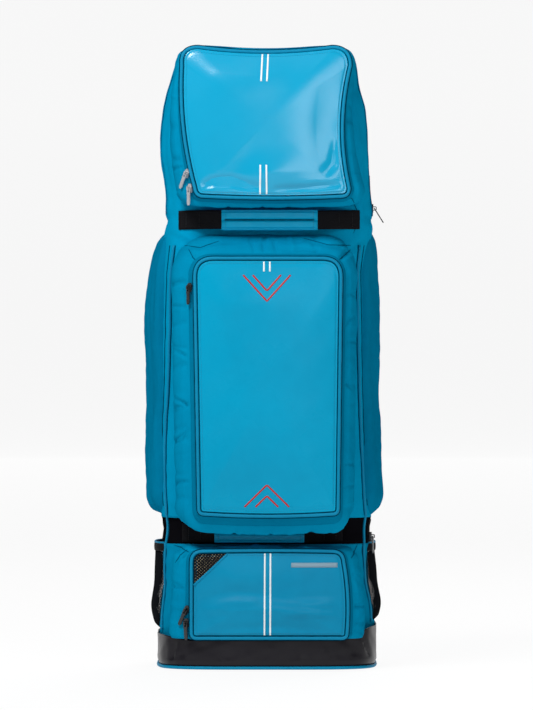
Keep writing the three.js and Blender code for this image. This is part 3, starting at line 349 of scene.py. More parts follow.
@dataclass(frozen=True)
class Coated(Finish):
    """A smooth coated cloth with a fine pebble grain and a soft shine."""

    grain: float = 0.12
    wave: float = 0.3
    specular: float = 0.14

    def surface_into(self, bench: NodeBench) -> None:
        """Sets the shine and the relief.

        Args:
            bench: The material's nodes.
        """
        rough = bench.spread(bench.noise(14.0), self.roughness - 0.05, self.roughness + 0.07)
        bench.set(Roughness=rough, Specular_IOR_Level=self.specular)
        waved = bench.bump(bench.noise(9.0, 2.0), self.wave, 0.004)
        pebbles = bench.add("ShaderNodeTexVoronoi")
        pebbles.inputs["Scale"].default_value = 1100.0
        bench.link(bench.place, pebbles.inputs["Vector"])
        bench.set(Normal=bench.bump(pebbles.outputs["Distance"], self.grain, 0.0002, waved))


@dataclass(frozen=True)
class Ribbed(Finish):
    """Webbing or elastic, with ribs that run along x and y, one over another."""

    rib: float = 0.0021
    depth: float = 0.5

    def surface_into(self, bench: NodeBench) -> None:
        """Sets the shine and the relief.

        Args:
            bench: The material's nodes.
        """
        bench.set(Roughness=self.roughness, Specular_IOR_Level=0.08)
        ribs = bench.waves(bench.place_parts()["Z"], self.rib)
        ribbed = bench.bump(bench.spread(ribs, 0.0, 1.0), self.depth, 0.0004)
        bench.set(Normal=bench.bump(bench.threads(0.0013), 0.3, 0.0003, ribbed))


@dataclass(frozen=True)
class Metal(Finish):
    """A cast metal, polished or painted, with fine handling marks."""

    metallic: float = 1.0

    def surface_into(self, bench: NodeBench) -> None:
        """Sets the shine and the relief.

        Args:
            bench: The material's nodes.
        """
        rough = bench.spread(bench.noise(150.0), self.roughness - 0.06, self.roughness + 0.1)
        marks = bench.bump(bench.noise(220.0, 2.0), 0.1, 0.0002)
        bench.set(Metallic=self.metallic, Roughness=rough, Normal=marks)


@dataclass(frozen=True)
class Speckled(Finish):
    """A dark lining with small pale dots in a diamond pattern: the net's pale strands, with painted glints of light on
    them.
    """

    def colour_into(self, bench: NodeBench) -> None:
        """Scatters the colour in small pale dots over the dark colour: pale strands with painted glints on them.

        Args:
            bench: The material's nodes.
        """
        glints = bench.math("MULTIPLY", bench.threads(0.0046), bench.noise(110.0, 2.0))
        share = bench.math("GREATER_THAN", glints, 0.33)
        bench.set(Base_Color=bench.mix(share, self.shade, self.colour))


BLUE_CLOTH = Woven("blue_cloth", Slot.BLUE_FABRIC, (0.0008, 0.262, 0.455), (0.0006, 0.2, 0.37))
# The blue fabric painted lighter for the upper body, standing in for the light that falls on it there: painted light.
BLUE_BODY_CLOTH_PAINTED_LIGHT = Woven("blue_body_cloth_painted_light", Slot.BLUE_FABRIC, (0.0008, 0.315, 0.54), (0.0006, 0.245, 0.445))
# The blue fabric painted darker for the side sleeves, standing in for the shade on the sides: painted shade.
BLUE_SIDE_CLOTH_PAINTED_SHADE = Woven("blue_side_cloth_painted_shade", Slot.BLUE_FABRIC, (0.0006, 0.2, 0.36), (0.0005, 0.16, 0.3))
BLUE_GRIP = Coated("blue_grip_cloth", Slot.BLUE_GRIP, (0.001, 0.37, 0.6), (0.001, 0.31, 0.53), 0.38)
BLUE_TOP_PANEL = Coated(
    "blue_top_panel", Slot.BLUE_COATED, (0.0006, 0.34, 0.57), (0.0005, 0.31, 0.52), 0.21, specular=0.52
)
BLUE_PANEL = Coated(
    "blue_coated_panel", Slot.BLUE_COATED, (0.0006, 0.33, 0.545), (0.0005, 0.27, 0.46), 0.27, specular=0.09
)
BLUE_LOW_PANEL = Coated(
    "blue_low_panel", Slot.BLUE_COATED, (0.0006, 0.275, 0.475), (0.0005, 0.21, 0.38), 0.36, specular=0.12
)
BLUE_CORD = Coated("blue_covered_cord", Slot.BLUE_PIPING, (0.001, 0.24, 0.42), (0.001, 0.2, 0.37), 0.5, specular=0.1)
# A dark navy for thin tubes laid in sunken seams and grooves: painted seam shade.
PAINTED_SEAM_SHADE = Woven("blue_seam_shade", Slot.BLUE_PIPING, (0.0004, 0.04, 0.08), (0.0003, 0.03, 0.06))
# A dark blue for thin tubes laid along gusset creases: painted crease shade.
PAINTED_CREASE_SHADE = Woven("blue_crease_shade", Slot.BLUE_PIPING, (0.0005, 0.085, 0.16), (0.0004, 0.07, 0.13))
BLUE_TAPE = Woven("blue_zip_tape_cloth", Slot.BLUE_ZIP, (0.0006, 0.19, 0.34), (0.0005, 0.15, 0.28))
BLACK_CLOTH = Woven("black_cloth", Slot.BLACK_FABRIC, (0.005, 0.0045, 0.006), (0.003, 0.003, 0.004), 0.8)
BLACK_STRAP = Ribbed("black_strap", Slot.BLACK_WEBBING, (0.007, 0.0065, 0.008), (0.004, 0.004, 0.005), 0.7)
BLACK_ELASTIC = Ribbed("black_elastic", Slot.BLACK_FABRIC, (0.01, 0.01, 0.012), (0.006, 0.006, 0.007), 0.75, 0.0017)
BLACK_TAPE = Ribbed("black_zip_tape_cloth", Slot.BLACK_ZIP, (0.008, 0.008, 0.01), (0.005, 0.005, 0.006), 0.7, 0.0016)
BLACK_WRAP = Coated(
    "black_coated_wrap", Slot.BLACK_COATED, (0.012, 0.0105, 0.015), (0.007, 0.0065, 0.009), 0.33, wave=0.5, specular=0.2
)
BLACK_NET = Woven("black_net", Slot.BLACK_MESH, (0.012, 0.013, 0.016), (0.008, 0.009, 0.011), 0.6)
# Pale dots over a dark lining: the net's strands, partly painted glints.
VENT_LINING = Speckled("vent_lining", Slot.BLACK_MESH, (0.5, 0.42, 0.27), (0.006, 0.006, 0.006), 0.8)
SILVER = Metal("silver_pull", Slot.SILVER, (0.74, 0.74, 0.76), (0.56, 0.56, 0.58), 0.3, 0.55)
BLACK_PULL = Metal("black_pull", Slot.BLACK_METAL, (0.075, 0.075, 0.078), (0.03, 0.03, 0.032), 0.24, 0.6)
WHITE_PRINT = Finish("white_print", Slot.BLUE_COATED, (0.85, 0.9, 0.9), (0.78, 0.84, 0.85), 0.5)
RED_PRINT = Finish("red_print", Slot.BLUE_COATED, (0.5, 0.012, 0.012), (0.42, 0.01, 0.01), 0.5)
GREY_PRINT = Finish("grey_print", Slot.BLUE_COATED, (0.22, 0.34, 0.42), (0.19, 0.3, 0.38), 0.5)
BLUE_THREAD = Finish("blue_thread", Slot.BLUE_PIPING, (0.001, 0.15, 0.28), (0.001, 0.12, 0.23), 0.6)
BLACK_THREAD = Finish("black_thread", Slot.BLACK_WEBBING, (0.022, 0.022, 0.025), (0.015, 0.015, 0.017), 0.6)


# Meshes


def grid_faces(levels: int, count: int, wrap_levels: bool, wrap_count: bool = True) -> Faces:
    """The faces between neighbouring rings of a grid.

    Args:
        levels: How many rings there are.
        count: How many points a ring has.
        wrap_levels: Whether the last ring joins the first.
        wrap_count: Whether each ring is closed.

    Returns:
        Four point numbers for each face.
    """
    index = np.arange(levels * count).reshape(levels, count)
    above = np.roll(index, -1, axis=0)
    if not wrap_levels:
        index, above = index[:-1], above[:-1]
    corners = [index, np.roll(index, -1, axis=1), np.roll(above, -1, axis=1), above]
    quads = np.stack(corners, axis=-1)
    if not wrap_count:
        quads = quads[:, :-1]
    return [tuple(quad) for quad in quads.reshape(-1, 4).tolist()]


def signed_volume(points: Array, faces: Faces) -> float:
    """The volume inside closed faces, below zero where they point inwards.

    Args:
        points: The body's points.
        faces: Its faces.

    Returns:
        The volume.
    """
    triangles = [(f[0], f[k], f[k + 1]) for f in faces for k in range(1, len(f) - 1)]
    a, b, c = (points[np.array(triangles)[:, k]] for k in range(3))
    return float(np.einsum("ij,ij->i", a, np.cross(b, c)).sum() / 6)


def add_object(name: str, points: Array, faces: Faces, material: bpy.types.Material,
               smooth: bool = True) -> bpy.types.Object:
    """Adds a mesh object to the scene.

    Args:
        name: The object's name.
        points: Its points in metres.
        faces: Its faces.
        material: Its material.
        smooth: Whether it is shaded smooth.

    Returns:
        The new object.
    """
    mesh = bpy.data.meshes.new(name)
    mesh.from_pydata(points.tolist(), [], faces)
    if smooth:
        mesh.polygons.foreach_set("use_smooth", [True] * len(mesh.polygons))
    mesh.materials.append(material)
    mesh.update()
    made = bpy.data.objects.new(name, mesh)
    bpy.context.scene.collection.objects.link(made)
    return made


def select_only(piece: bpy.types.Object) -> None:
    """Makes a piece the only one that an operator acts on.

    Args:
        piece: The piece.
    """
    bpy.ops.object.select_all(action="DESELECT")
    piece.select_set(True)
    bpy.context.view_layer.objects.active = piece


def put_on_bag(piece: bpy.types.Object) -> bpy.types.Object:
    """Lets a finished piece ride on the bag.

    Args:
        piece: The piece.

    Returns:
        The same piece.
    """
    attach(piece, BODY)
    LOG.info("%s: %d faces", piece.name, len(piece.data.polygons))
    return piece


def make_mesh(name: str, points: Array, faces: Faces, finish: Finish) -> bpy.types.Object:
    """Makes a smooth-shaded object from closed faces, turned to point outwards.

    Args:
        name: The object's name.
        points: Its points in millimetres.
        faces: Its faces.
        finish: Its finish.

    Returns:
        The new object, riding on the bag.
    """
    if signed_volume(points, faces) < 0:
        faces = [tuple(reversed(face)) for face in faces]
    return put_on_bag(add_object(name, points * MM, faces, finish.material()))


def stand_for(piece: bpy.types.Object, node: str) -> bpy.types.Object:
    """Lets a piece take a CAD node's place by hiding the node.

    Args:
        piece: The piece.
        node: The node's name.

    Returns:
        The same piece.
    """
    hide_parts(node)
    return piece


def capped(name: str, rings: Array, finish: Finish) -> bpy.types.Object:
    """A body lofted through rings, with a point closing each end.

    Args:
        name: The piece's name.
        rings: The rings, one after another.
        finish: Its finish.

    Returns:
        The new piece.
    """
    levels, count = rings.shape[:2]
    points = np.vstack([rings.reshape(-1, 3), rings[0].mean(axis=0), rings[-1].mean(axis=0)])
    faces = grid_faces(levels, count, False)
    start, last = levels * count, (levels - 1) * count
    for i in range(count):
        j = (i + 1) % count
        faces.append((start, j, i))
        faces.append((start + 1, last + i, last + j))
    return make_mesh(name, points, faces, finish)


def wrapped(name: str, rings: Array, finish: Finish) -> bpy.types.Object:
    """A hoop-like body whose rings come back to the first one."""
    levels, count = rings.shape[:2]
    return make_mesh(name, rings.reshape(-1, 3), grid_faces(levels, count, True), finish)


def cloth_for(node: str, name: str, rings: Array, finish: Finish, hoop: bool = False) -> bpy.types.Object:
    """Lofts a piece that takes a CAD node's place; a hoop's rings come back to the first one."""
    loft = wrapped if hoop else capped
    return stand_for(loft(name, rings, finish), node)


def unit(vectors: Array) -> Array:
    """The vectors at length one."""
    return vectors / np.maximum(np.linalg.norm(vectors, axis=-1, keepdims=True), 1e-9)


def across_of(line: Array, outward: Array) -> Array:
    """The direction across a line that lies on a surface, at each of its points."""
    return unit(np.cross(unit(np.gradient(line, axis=0)), outward))


def repeated(way: Sequence[float], count: int) -> Array:
    """The same direction for each point of a line."""
    return np.tile(np.array(way), (count, 1))


def length_of(line: Array) -> float:
    """How long a line is."""
    return float(np.linalg.norm(np.diff(line, axis=0), axis=1).sum())


def stretched_ripple(points: Array, upright: float, size: float, seed: int) -> Array:
    """A ripple whose swells are longer upright, for a share below 1, or shorter."""
    return ripple(points * np.array([1, 1, upright]), size, seed)


def sized(line: Array, rings: Array, share: Array) -> Array:
    """Rings drawn in or out about their line, each by its own share."""
    return line[:, None, :] + (rings - line[:, None, :]) * share


def grid_normals(rings: Array) -> Array:
    """The outward direction at each point of a grid of closed rings.

    Args:
        rings: The rings, one after another.

    Returns:
        The directions, at length one.
    """
    around = np.roll(rings, -1, axis=1) - np.roll(rings, 1, axis=1)
    along = np.gradient(rings, axis=0)
    return unit(np.cross(around, along))


def pressed(rings: Array, amount: Array) -> Array:
    """The grid with each point moved outwards by its own amount."""
    return rings + grid_normals(rings) * amount[..., None]


def smooth_row(xs: Array, ys: Array, at: Array) -> Array:
    """A smooth curve through a table that never overshoots it.

    Args:
        xs: The table's places, rising.
        ys: Its values.
        at: The places asked for.

    Returns:
        The value at each place.
    """
    step = np.diff(xs)
    slope = np.diff(ys) / step
    lean = np.concatenate([slope[:1], np.zeros(len(xs) - 2), slope[-1:]])
    for k in range(1, len(xs) - 1):
        if slope[k - 1] * slope[k] > 0:
            near, far = 2 * step[k] + step[k - 1], step[k] + 2 * step[k - 1]
            lean[k] = (near + far) / (near / slope[k - 1] + far / slope[k])
    place = np.clip(at, xs[0], xs[-1])
    k = np.clip(np.searchsorted(xs, place, side="right") - 1, 0, len(xs) - 2)
    t = (place - xs[k]) / step[k]
    hold = (2 * t**3 - 3 * t**2 + 1) * ys[k] + (3 * t**2 - 2 * t**3) * ys[k + 1]
    return hold + step[k] * ((t**3 - 2 * t**2 + t) * lean[k] + (t**3 - t**2) * lean[k + 1])


def smoothstep(value: Array, low: float, high: float) -> Array:
    """A soft step from 0 at low to 1 at high."""
    t = np.clip((value - low) / (high - low), 0, 1)
    return t * t * (3 - 2 * t)


def ripple(points: Array, size: float, seed: int, waves: int = 7) -> Array:
    """A soft seeded unevenness.

    Args:
        points: Where it is asked for.
        size: The usual size of a swell.
        seed: Which unevenness.
        waves: How many waves it sums.

    Returns:
        About -1 to 1 for each point.
    """
    source = np.random.default_rng(seed)
    total = np.zeros(points.shape[:-1])
    for _ in range(waves):
        heading = unit(source.normal(size=3))
        rate = 2 * math.pi / (size * source.uniform(0.7, 1.7))
        total += np.sin(points @ heading * rate + source.uniform(0, 2 * math.pi))
    return total / math.sqrt(2 * waves) * 0.9


@dataclass(frozen=True)
class Fold:
    """A crease or a swell along a route, seen from the front or a side.

    route holds pairs of a place across and a height, push is how far it stands out, below zero
    for a crease, and wide is its half width.
    """

    route: tuple[tuple[float, float], ...]
    push: float
    wide: float

    def relief(self, across: Array, up: Array) -> Array:
        """How far it moves the cloth at each place, outwards.

        Args:
            across: The places across.
            up: The heights.

        Returns:
            The move for each place.
        """
        spots = np.array(self.route)
        lengths = np.linalg.norm(np.diff(spots, axis=0), axis=1)
        whole, done = lengths.sum(), 0.0
        best = np.full(across.shape, 1e9)
        along = np.zeros(across.shape)
        for first, second, length in zip(spots[:-1], spots[1:], lengths):
            way = (second - first) / length
            t = np.clip((across - first[0]) * way[0] + (up - first[1]) * way[1], 0, length)
            gap = np.hypot(across - first[0] - way[0] * t, up - first[1] - way[1] * t)
            nearer = gap < best
            along = np.where(nearer, (done + t) / whole, along)
            best = np.minimum(best, gap)
            done += length
        fade = np.clip(np.sin(math.pi * np.clip(along, 0.0, 1.0)), 0, 1) ** 0.5
        body = np.exp(-((best / self.wide) ** 2)) - 0.3 * np.exp(-((best / (2.4 * self.wide)) ** 2))
        return FOLD_STRENGTH * self.push * body * (FOLD_ENDS + (1 - FOLD_ENDS) * fade)


def fold_relief(folds: Sequence[Fold], across: Array, up: Array) -> Array:
    """What all the folds together do at each place.

    Args:
        folds: The folds.
        across: The places' x.
        up: The places' z.

    Returns:
        How far each place is pushed out.
    """
    total = np.zeros(across.shape)
    for fold in folds:
        total += fold.relief(across, up)
    return total


def spaced(points: Array, count: int, closed: bool) -> Array:
    """The same line with its points at equal distances.

    Args:
        points: The line.
        count: How many points the new one has.
        closed: Whether it comes back to its start.

    Returns:
        The new line.
    """
    line = np.vstack([points, points[:1]]) if closed else points
    run = np.concatenate([[0], np.cumsum(np.linalg.norm(np.diff(line, axis=0), axis=1))])
    at = np.linspace(0, run[-1], count, endpoint=not closed)
    return np.stack([np.interp(at, run, line[:, k]) for k in range(line.shape[1])], axis=1)


def eased(points: Array, rounds: int) -> Array:
    """An open line with its corners softened and its ends kept.

    Args:
        points: The line's points.
        rounds: How often they are eased.

    Returns:
        The softened line.
    """
    line = points.copy()
    for _ in range(rounds):
        line[1:-1] = 0.25 * line[:-2] + 0.5 * line[1:-1] + 0.25 * line[2:]
    return line


def sweep_rings(line: Array, across: Array, outward: Array, profile: Array) -> Array:
    """Rings of a profile along a line.

    Args:
        line: The middle of the sweep.
        across: The profile's first direction at each point.
        outward: Its second direction at each point.
        profile: Pairs of places in those directions.

    Returns:
        The rings.
    """
    first = across[:, None, :] * profile[None, :, :1]
    second = outward[:, None, :] * profile[None, :, 1:]
    return line[:, None, :] + first + second


def round_profile(radius: float, sides: int) -> Array:
    """A circle as pairs."""
    turn = 2 * math.pi * np.arange(sides) / sides
    return radius * np.stack([np.cos(turn), np.sin(turn)], axis=1)


def strap_profile(width: float, thickness: float, crown: float = 0.0) -> Array:
    """A flat strap's section with rounded edges, as pairs.

    Args:
        width: The strap's width.
        thickness: Its thickness.
        crown: How much its middle stands out.

    Returns:
        The section's points, across and out.
    """
    half, thin = width / 2, thickness / 2
    spots = np.linspace(-1, 1, 9)
    top = [(half * s * 0.97, thin + crown * (1 - s * s)) for s in spots]
    bottom = [(half * s * 0.97, -thin) for s in spots[::-1]]
    edge = 0.3 * thin
    return np.array([(-half, edge), *top, (half, edge), (half, -edge), *bottom, (-half, -edge)])


class Skin:
    """The outside of pieces that are already built, on which trims are laid."""

    def __init__(self, *pieces: bpy.types.Object) -> None:
        """Reads the pieces' meshes.

        Args:
            pieces: The pieces that carry the trims.
        """
        points: list[Vector] = []
        faces: list[tuple[int, ...]] = []
        for piece in pieces:
            start = len(points)
            points += [v.co.copy() for v in piece.data.vertices]
            faces += [tuple(start + k for k in p.vertices) for p in piece.data.polygons]
        self.tree = BVHTree.FromPolygons(points, faces)

    def hit(self, start: Sequence[float], way: Sequence[float]) -> tuple[Array, Array] | None:
        """Where a ray meets the skin.

        Args:
            start: The ray's start in millimetres.
            way: Its direction.

        Returns:
            The place and the outward direction there, or nothing.
        """
        place, normal, _, _ = self.tree.ray_cast(Vector(start) * MM, Vector(way).normalized())
        if place is None:
            return None
        facing = np.array(normal)
        if facing @ np.array(way) > 0:
            facing = -facing
        return np.array(place) / MM, facing

    def front(self, spots: Array, lift: float = 0.0) -> tuple[Array, Array]:
        """Lays places given by x and z on the skin from the front.

        Args:
            spots: Pairs of x and z.
            lift: How far above the skin they lie.

        Returns:
            The places and the outward directions.
        """
        places, normals = [], []
        for x, z in spots:
            found = self.hit((x, -RAY_START, z), BACKWARD)
            if found is not None:
                places.append(found[0] + found[1] * lift)
                normals.append(found[1])
        return np.array(places), np.array(normals)


def stitch_row(name: str, line: Array, outward: Array, finish: Finish, pitch: float = 3.6) -> bpy.types.Object:
    """A row of small raised stitches along a line.

    Args:
        name: The piece's name.
        line: The seam, on the cloth's surface.
        outward: The outward direction at each of its points.
        finish: The thread's finish.
        pitch: From one stitch to the next.

    Returns:
        The new piece.
    """
    count = max(3, int(length_of(line) / pitch))
    dense = spaced(np.hstack([line, outward]), 2 * count + 1, False)
    places, ways = dense[:, :3], unit(dense[:, 3:])
    points, faces = [], []
    for k in range(count):
        tail, head, up = places[2 * k], places[2 * k + 1], ways[2 * k]
        tail, head = tail - 0.15 * (head - tail), head + 0.3 * (head - tail)
        wide = unit(np.cross(head - tail, up)) * 0.45
        middle = (tail + head) / 2
        base = len(points)
        points += [tail - 0.1 * up, middle - wide, middle + 0.5 * up, middle + wide, head - 0.1 * up, middle - 0.4 * up]
        ring = [base + 1, base + 2, base + 3, base + 5]
        for i in range(4):
            j = (i + 1) % 4
            faces.append((base, ring[j], ring[i]))
            faces.append((base + 4, ring[i], ring[j]))
    return make_mesh(name, np.array(points), faces, finish)


def net(name: str, lay: Callable[[Array, Array], Array], width: float, height: float, cell: float,
        strand: float, finish: Finish, keep: Callable[[float, float], bool] | None = None) -> bpy.types.Object:
    """A diamond net of real strands on a surface.

    Args:
        name: The piece's name.
        lay: Gives the surface's points for shares across and up.
        width: The surface's width.
        height: Its height.
        cell: A diamond's width.
        strand: A strand's thickness.
        finish: The strands' finish.
        keep: Which diamonds stay, by shares across and up.

    Returns:
        The new piece.
    """
    columns, rows = int(2 * width / cell), int(2 * height / cell)
    across, up = np.meshgrid(np.arange(columns + 1) / columns, np.arange(rows + 1) / rows, indexing="ij")
    points = lay(across, up)
    number = np.arange(points.shape[0] * points.shape[1]).reshape(points.shape[:2])
    faces = []
    for i in range(1, columns):
        for j in range(1, rows):
            if (i + j) % 2 == 1 and (keep is None or keep(i / columns, j / rows)):
                faces.append((number[i, j - 1], number[i + 1, j], number[i, j + 1], number[i - 1, j]))
    used = sorted({int(k) for face in faces for k in face})
    order = {k: n for n, k in enumerate(used)}
    diamonds = [tuple(order[int(k)] for k in face) for face in faces]
    piece = add_object(name, points.reshape(-1, 3)[used] * MM, diamonds, finish.material(), smooth=False)
    select_only(piece)
    strands = piece.modifiers.new("strands", "WIREFRAME")
    strands.thickness = strand * MM
    strands.use_even_offset = False
    bpy.ops.object.modifier_apply(modifier="strands")
    return put_on_bag(piece)


# The main bag


@dataclass(frozen=True)
class Trunk:
    """A part of the main bag, lofted through rounded box sections.

    rows holds up, left, right, front and back: a share of the height, and shares of the half
    width and half depth.
    """

    rows: Rows
    floor: float
    height: float
    sag: float = 0.0

    def halves(self, z: Array, offset: float = 0.0) -> tuple[Array, Array, Array, Array]:
        """The section's four reaches at heights.

        Args:
            z: The heights.
            offset: How far outside the section.

        Returns:
            The reaches to the left, right, front and back.
        """
        table = np.array(self.rows)
        up = (np.asarray(z, dtype=float) - self.floor) / self.height
        left, right, front, back = (smooth_row(table[:, 0], table[:, k], up) for k in range(1, 5))
        return (left * HALF_WIDTH + offset, right * HALF_WIDTH + offset,
                front * HALF_DEPTH + offset, back * HALF_DEPTH + offset)

    def rings(self, angles: Array, z: Array, offset: float = 0.0) -> Array:
        """Rings of points at heights.

        Args:
            angles: The turn of each point in a ring.
            z: The rings' heights.
            offset: How far outside the section.

        Returns:
            The rings.
        """
        left, right, front, back = (h[:, None] for h in self.halves(z, offset))
        c, s = np.cos(angles)[None, :], np.sin(angles)[None, :]
        power = 2 / CORNER_POWER
        x = np.sign(c) * np.abs(c) ** power * np.where(c > 0, right, left)
        y = np.sign(s) * np.abs(s) ** power * np.where(s > 0, back, front)
        height = np.repeat(np.asarray(z, dtype=float)[:, None], len(angles), axis=1)
        across = x / np.where(x > 0, right, left)
        top = self.floor + self.height
        height = height - self.sag * smoothstep(height, top - 0.12 * self.height, top) * (1 - across**2)
        return np.stack([x, y, height], axis=-1)


UPPER = Trunk(
    rows=(
        (0, 0.975, 0.975, 0.93, 0.95),
        (0.04, 0.985, 0.955, 1.0, 1.0),
        (0.3, 0.99, 0.915, 1.02, 1.03),
        (0.5, 0.98, 0.91, 1.0, 1.02),
        (0.575, 0.955, 0.95, 0.96, 1.0),
        (0.62, 0.935, 0.985, 0.93, 0.98),
        (0.67, 0.93, 0.96, 0.925, 0.97),
        (0.785, 0.98, 0.93, 0.98, 1.01),
        (0.86, 0.95, 0.905, 0.96, 1.0),
        (0.92, 0.89, 0.842, 0.9, 0.95),
        (0.957, 0.845, 0.83, 0.83, 0.89),
        (0.982, 0.8, 0.79, 0.74, 0.8),
        (0.996, 0.72, 0.7, 0.6, 0.66),
        (1, 0.63, 0.6, 0.46, 0.52),
    ),
    floor=UPPER_FLOOR,
    height=UPPER_HEIGHT,
    sag=7.0,
)
WAIST = Trunk(
    rows=((0, 0.975, 0.955, 0.92, 0.94), (0.5, 0.955, 0.955, 0.88, 0.91), (1, 0.97, 0.97, 0.92, 0.94)),
    floor=WAIST_FLOOR,
    height=38.0,
)
LOWER = Trunk(
    rows=(
        (0, 0.96, 0.965, 1.341, 0.96),
        (0.05, 0.99, 1.0, 1.393, 1.0),
        (0.2, 0.99, 1.0, 1.393, 1.0),
        (0.218, 0.99, 1.0, 1.377, 1.0),
        (0.226, 0.99, 1.0, 1.0, 1.0),
        (0.45, 0.985, 0.985, 1.0, 1.0),
        (0.7, 0.955, 0.94, 0.99, 1.01),
        (0.93, 0.965, 0.935, 0.95, 0.97),
        (1, 0.975, 0.95, 0.93, 0.95),
    ),
    floor=LOWER_FLOOR,
    height=LOWER_TOP - LOWER_FLOOR,
)


def section_turns(count: int) -> Array:
    """Turns that space a section's points evenly round it.

    Args:
        count: How many points there are.

    Returns:
        The turns.
    """
    turn = np.linspace(0, 2 * math.pi, 7201)
    power = 2 / CORNER_POWER
    x = np.sign(np.cos(turn)) * np.abs(np.cos(turn)) ** power * HALF_WIDTH
    y = np.sign(np.sin(turn)) * np.abs(np.sin(turn)) ** power * HALF_DEPTH
    run = np.concatenate([[0], np.cumsum(np.hypot(np.diff(x), np.diff(y)))])
    return np.interp(np.linspace(0, run[-1], count, endpoint=False), run, turn)


def base_top_at(x: Array) -> Array:
    """The height of the base wrap's upper edge, which rises towards both sides."""
    rise = np.where(x > 0, RIGHT_RISE, LEFT_RISE)
    return BASE_HEIGHT + rise * smoothstep(np.abs(x) / HALF_WIDTH, 0.68, 1.0)


@dataclass
class MainBag:
    """The upper body, waist band, lower body, base wrap and the zips that they carry."""

    around: int = 264
    upper_folds: tuple[Fold, ...] = (
        Fold(((-150, 640), (-118, 625), (-100, 606)), -2.4, 5),
        Fold(((150, 636), (128, 618), (106, 601)), -2.6, 5),
        Fold(((-128, 690), (-60, 680), (30, 679), (128, 688)), -1.6, 7),
        Fold(((118, 706), (131, 694), (135, 664), (129, 640)), -1.8, 4),
        Fold(((-152, 585), (-140, 480), (-146, 330)), -1.6, 6),
        Fold(((138, 600), (133, 480), (131, 330)), -2.0, 6),
    )
    side_folds: tuple[Fold, ...] = (
        Fold(((-30, 640), (-36, 760), (-20, 860)), -1.8, 9),
        Fold(((-78, 655), (-70, 735), (-80, 830)), -1.6, 7),
        Fold(((20, 655), (30, 730), (18, 800)), -1.8, 10),
        Fold(((-90, 668), (-30, 655), (60, 668)), -2.4, 8),
        Fold(((70, 300), (82, 450), (74, 600)), -1.5, 10),
    )
    wrap_darts: tuple[Fold, ...] = (
        Fold(((-134, 40), (-140, 12)), -3.6, 3),
        Fold(((139, 52), (152, 20)), -3.8, 3),
        Fold(((-120, 40), (-124, 18)), -1.2, 5),
        Fold(((122, 44), (130, 20)), -1.4, 5),
    )
    lid_rings: tuple[float, ...] = (0.93, 0.84, 0.72, 0.56, 0.38, 0.18)
    wrap_wall: float = GAP + FABRIC_WALL
    heel_height: float = 11.3
    chest_height: float = 38.0
    foot_cord_radius: float = 2.35
    foot_cord_height: float = 2.7
    main_tape: float = 13.0
    open_end: float = 9.0
    open_below: float = 728.0
    side_tape: float = 10.0
    tape_thickness: float = 1.8
    tooth_pitch: float = 0.7
    tooth_half: tuple[float, float] = (1.9, 0.75)
    tooth_gap: float = 0.62
    pieces: list[bpy.types.Object] = field(default_factory=list)

    def shaped(self, rings: Array, seed: int, loose: float) -> Array:
        """Gives a body's rings their folds and soft unevenness.

        Args:
            rings: The rings.
            seed: Which unevenness.
            loose: How uneven the cloth lies.

        Returns:
            The new rings.
        """
        x, y, z = rings[..., 0], rings[..., 1], rings[..., 2]
        facing = grid_normals(rings)
        frontward = np.clip(-facing[..., 1], 0, 1) ** 1.5
        sideward = np.abs(facing[..., 0]) ** 1.5
        relief = frontward * fold_relief(self.upper_folds, x, z)
        relief += sideward * fold_relief(self.side_folds, y, z)
        relief += loose * stretched_ripple(rings, 0.45, 70.0, seed)
        relief += 0.35 * loose * ripple(rings, 24.0, seed + 1)
        return rings + facing * relief[..., None]

    def upper(self) -> None:
        """Builds the upper body, closed on top."""
        turns = section_turns(self.around)
        share = np.concatenate([np.linspace(0, 0.9, 150), np.linspace(0.9, 1, 34)[1:]])
        rings = UPPER.rings(turns, UPPER_FLOOR + share * UPPER_HEIGHT)
        rings = self.shaped(rings, 11, 1.3)
        lid = []
        for inward in self.lid_rings:
            ring = rings[-1] * np.array([inward, inward, 1.0])
            across = ring[:, 0] / np.abs(rings[-1][:, 0]).max()
            ring[:, 2] = BAG_TOP - UPPER.sag * (1 - across**2) + 1.2 * (1 - inward)
            lid.append(ring)
        middle = rings[:1].mean(axis=1, keepdims=True)
        foot = middle + (rings[:1] - middle) * 0.97
        foot[..., 2] = rings[0, :, 2] + 0.2
        whole = np.concatenate([foot, rings, np.array(lid)])
        self.pieces.append(cloth_for("upper_body", "upper_body_cloth", whole, BLUE_BODY_CLOTH_PAINTED_LIGHT))

    def waist(self) -> None:
        """Builds the waist band."""
        turns = section_turns(self.around)
        z = WAIST.floor + np.linspace(0, 1, 16) * WAIST.height
        rings = WAIST.rings(turns, z)
        rings = pressed(rings, 1.1 * stretched_ripple(rings, 3.2, 46.0, 5))
        self.pieces.append(cloth_for("waist_band", "waist_band_cloth", rings, BLACK_CLOTH))

    def lower(self) -> None:
        """Builds the lower body."""
        turns = section_turns(self.around)
        share = np.concatenate([[0.12, 0.2, 0.214, 0.218, 0.222, 0.226], np.linspace(0.25, 1, 44)])
        rings = LOWER.rings(turns, LOWER.floor + share * LOWER.height)
        relief = 1.5 * stretched_ripple(rings, 0.6, 48.0, 21) + 0.6 * ripple(rings, 17.0, 22)
        rings = pressed(rings, relief * smoothstep(rings[..., 2], BASE_CLEARANCE, 66))
        self.pieces.append(cloth_for("lower_body", "lower_body_cloth", rings, BLUE_CLOTH))

    def lower_ring(self, z: float, offset: float) -> Array:
        """One ring round the lower body, at a height and outside it by an offset."""
        return LOWER.rings(section_turns(self.around), np.array([z]), offset)[0]

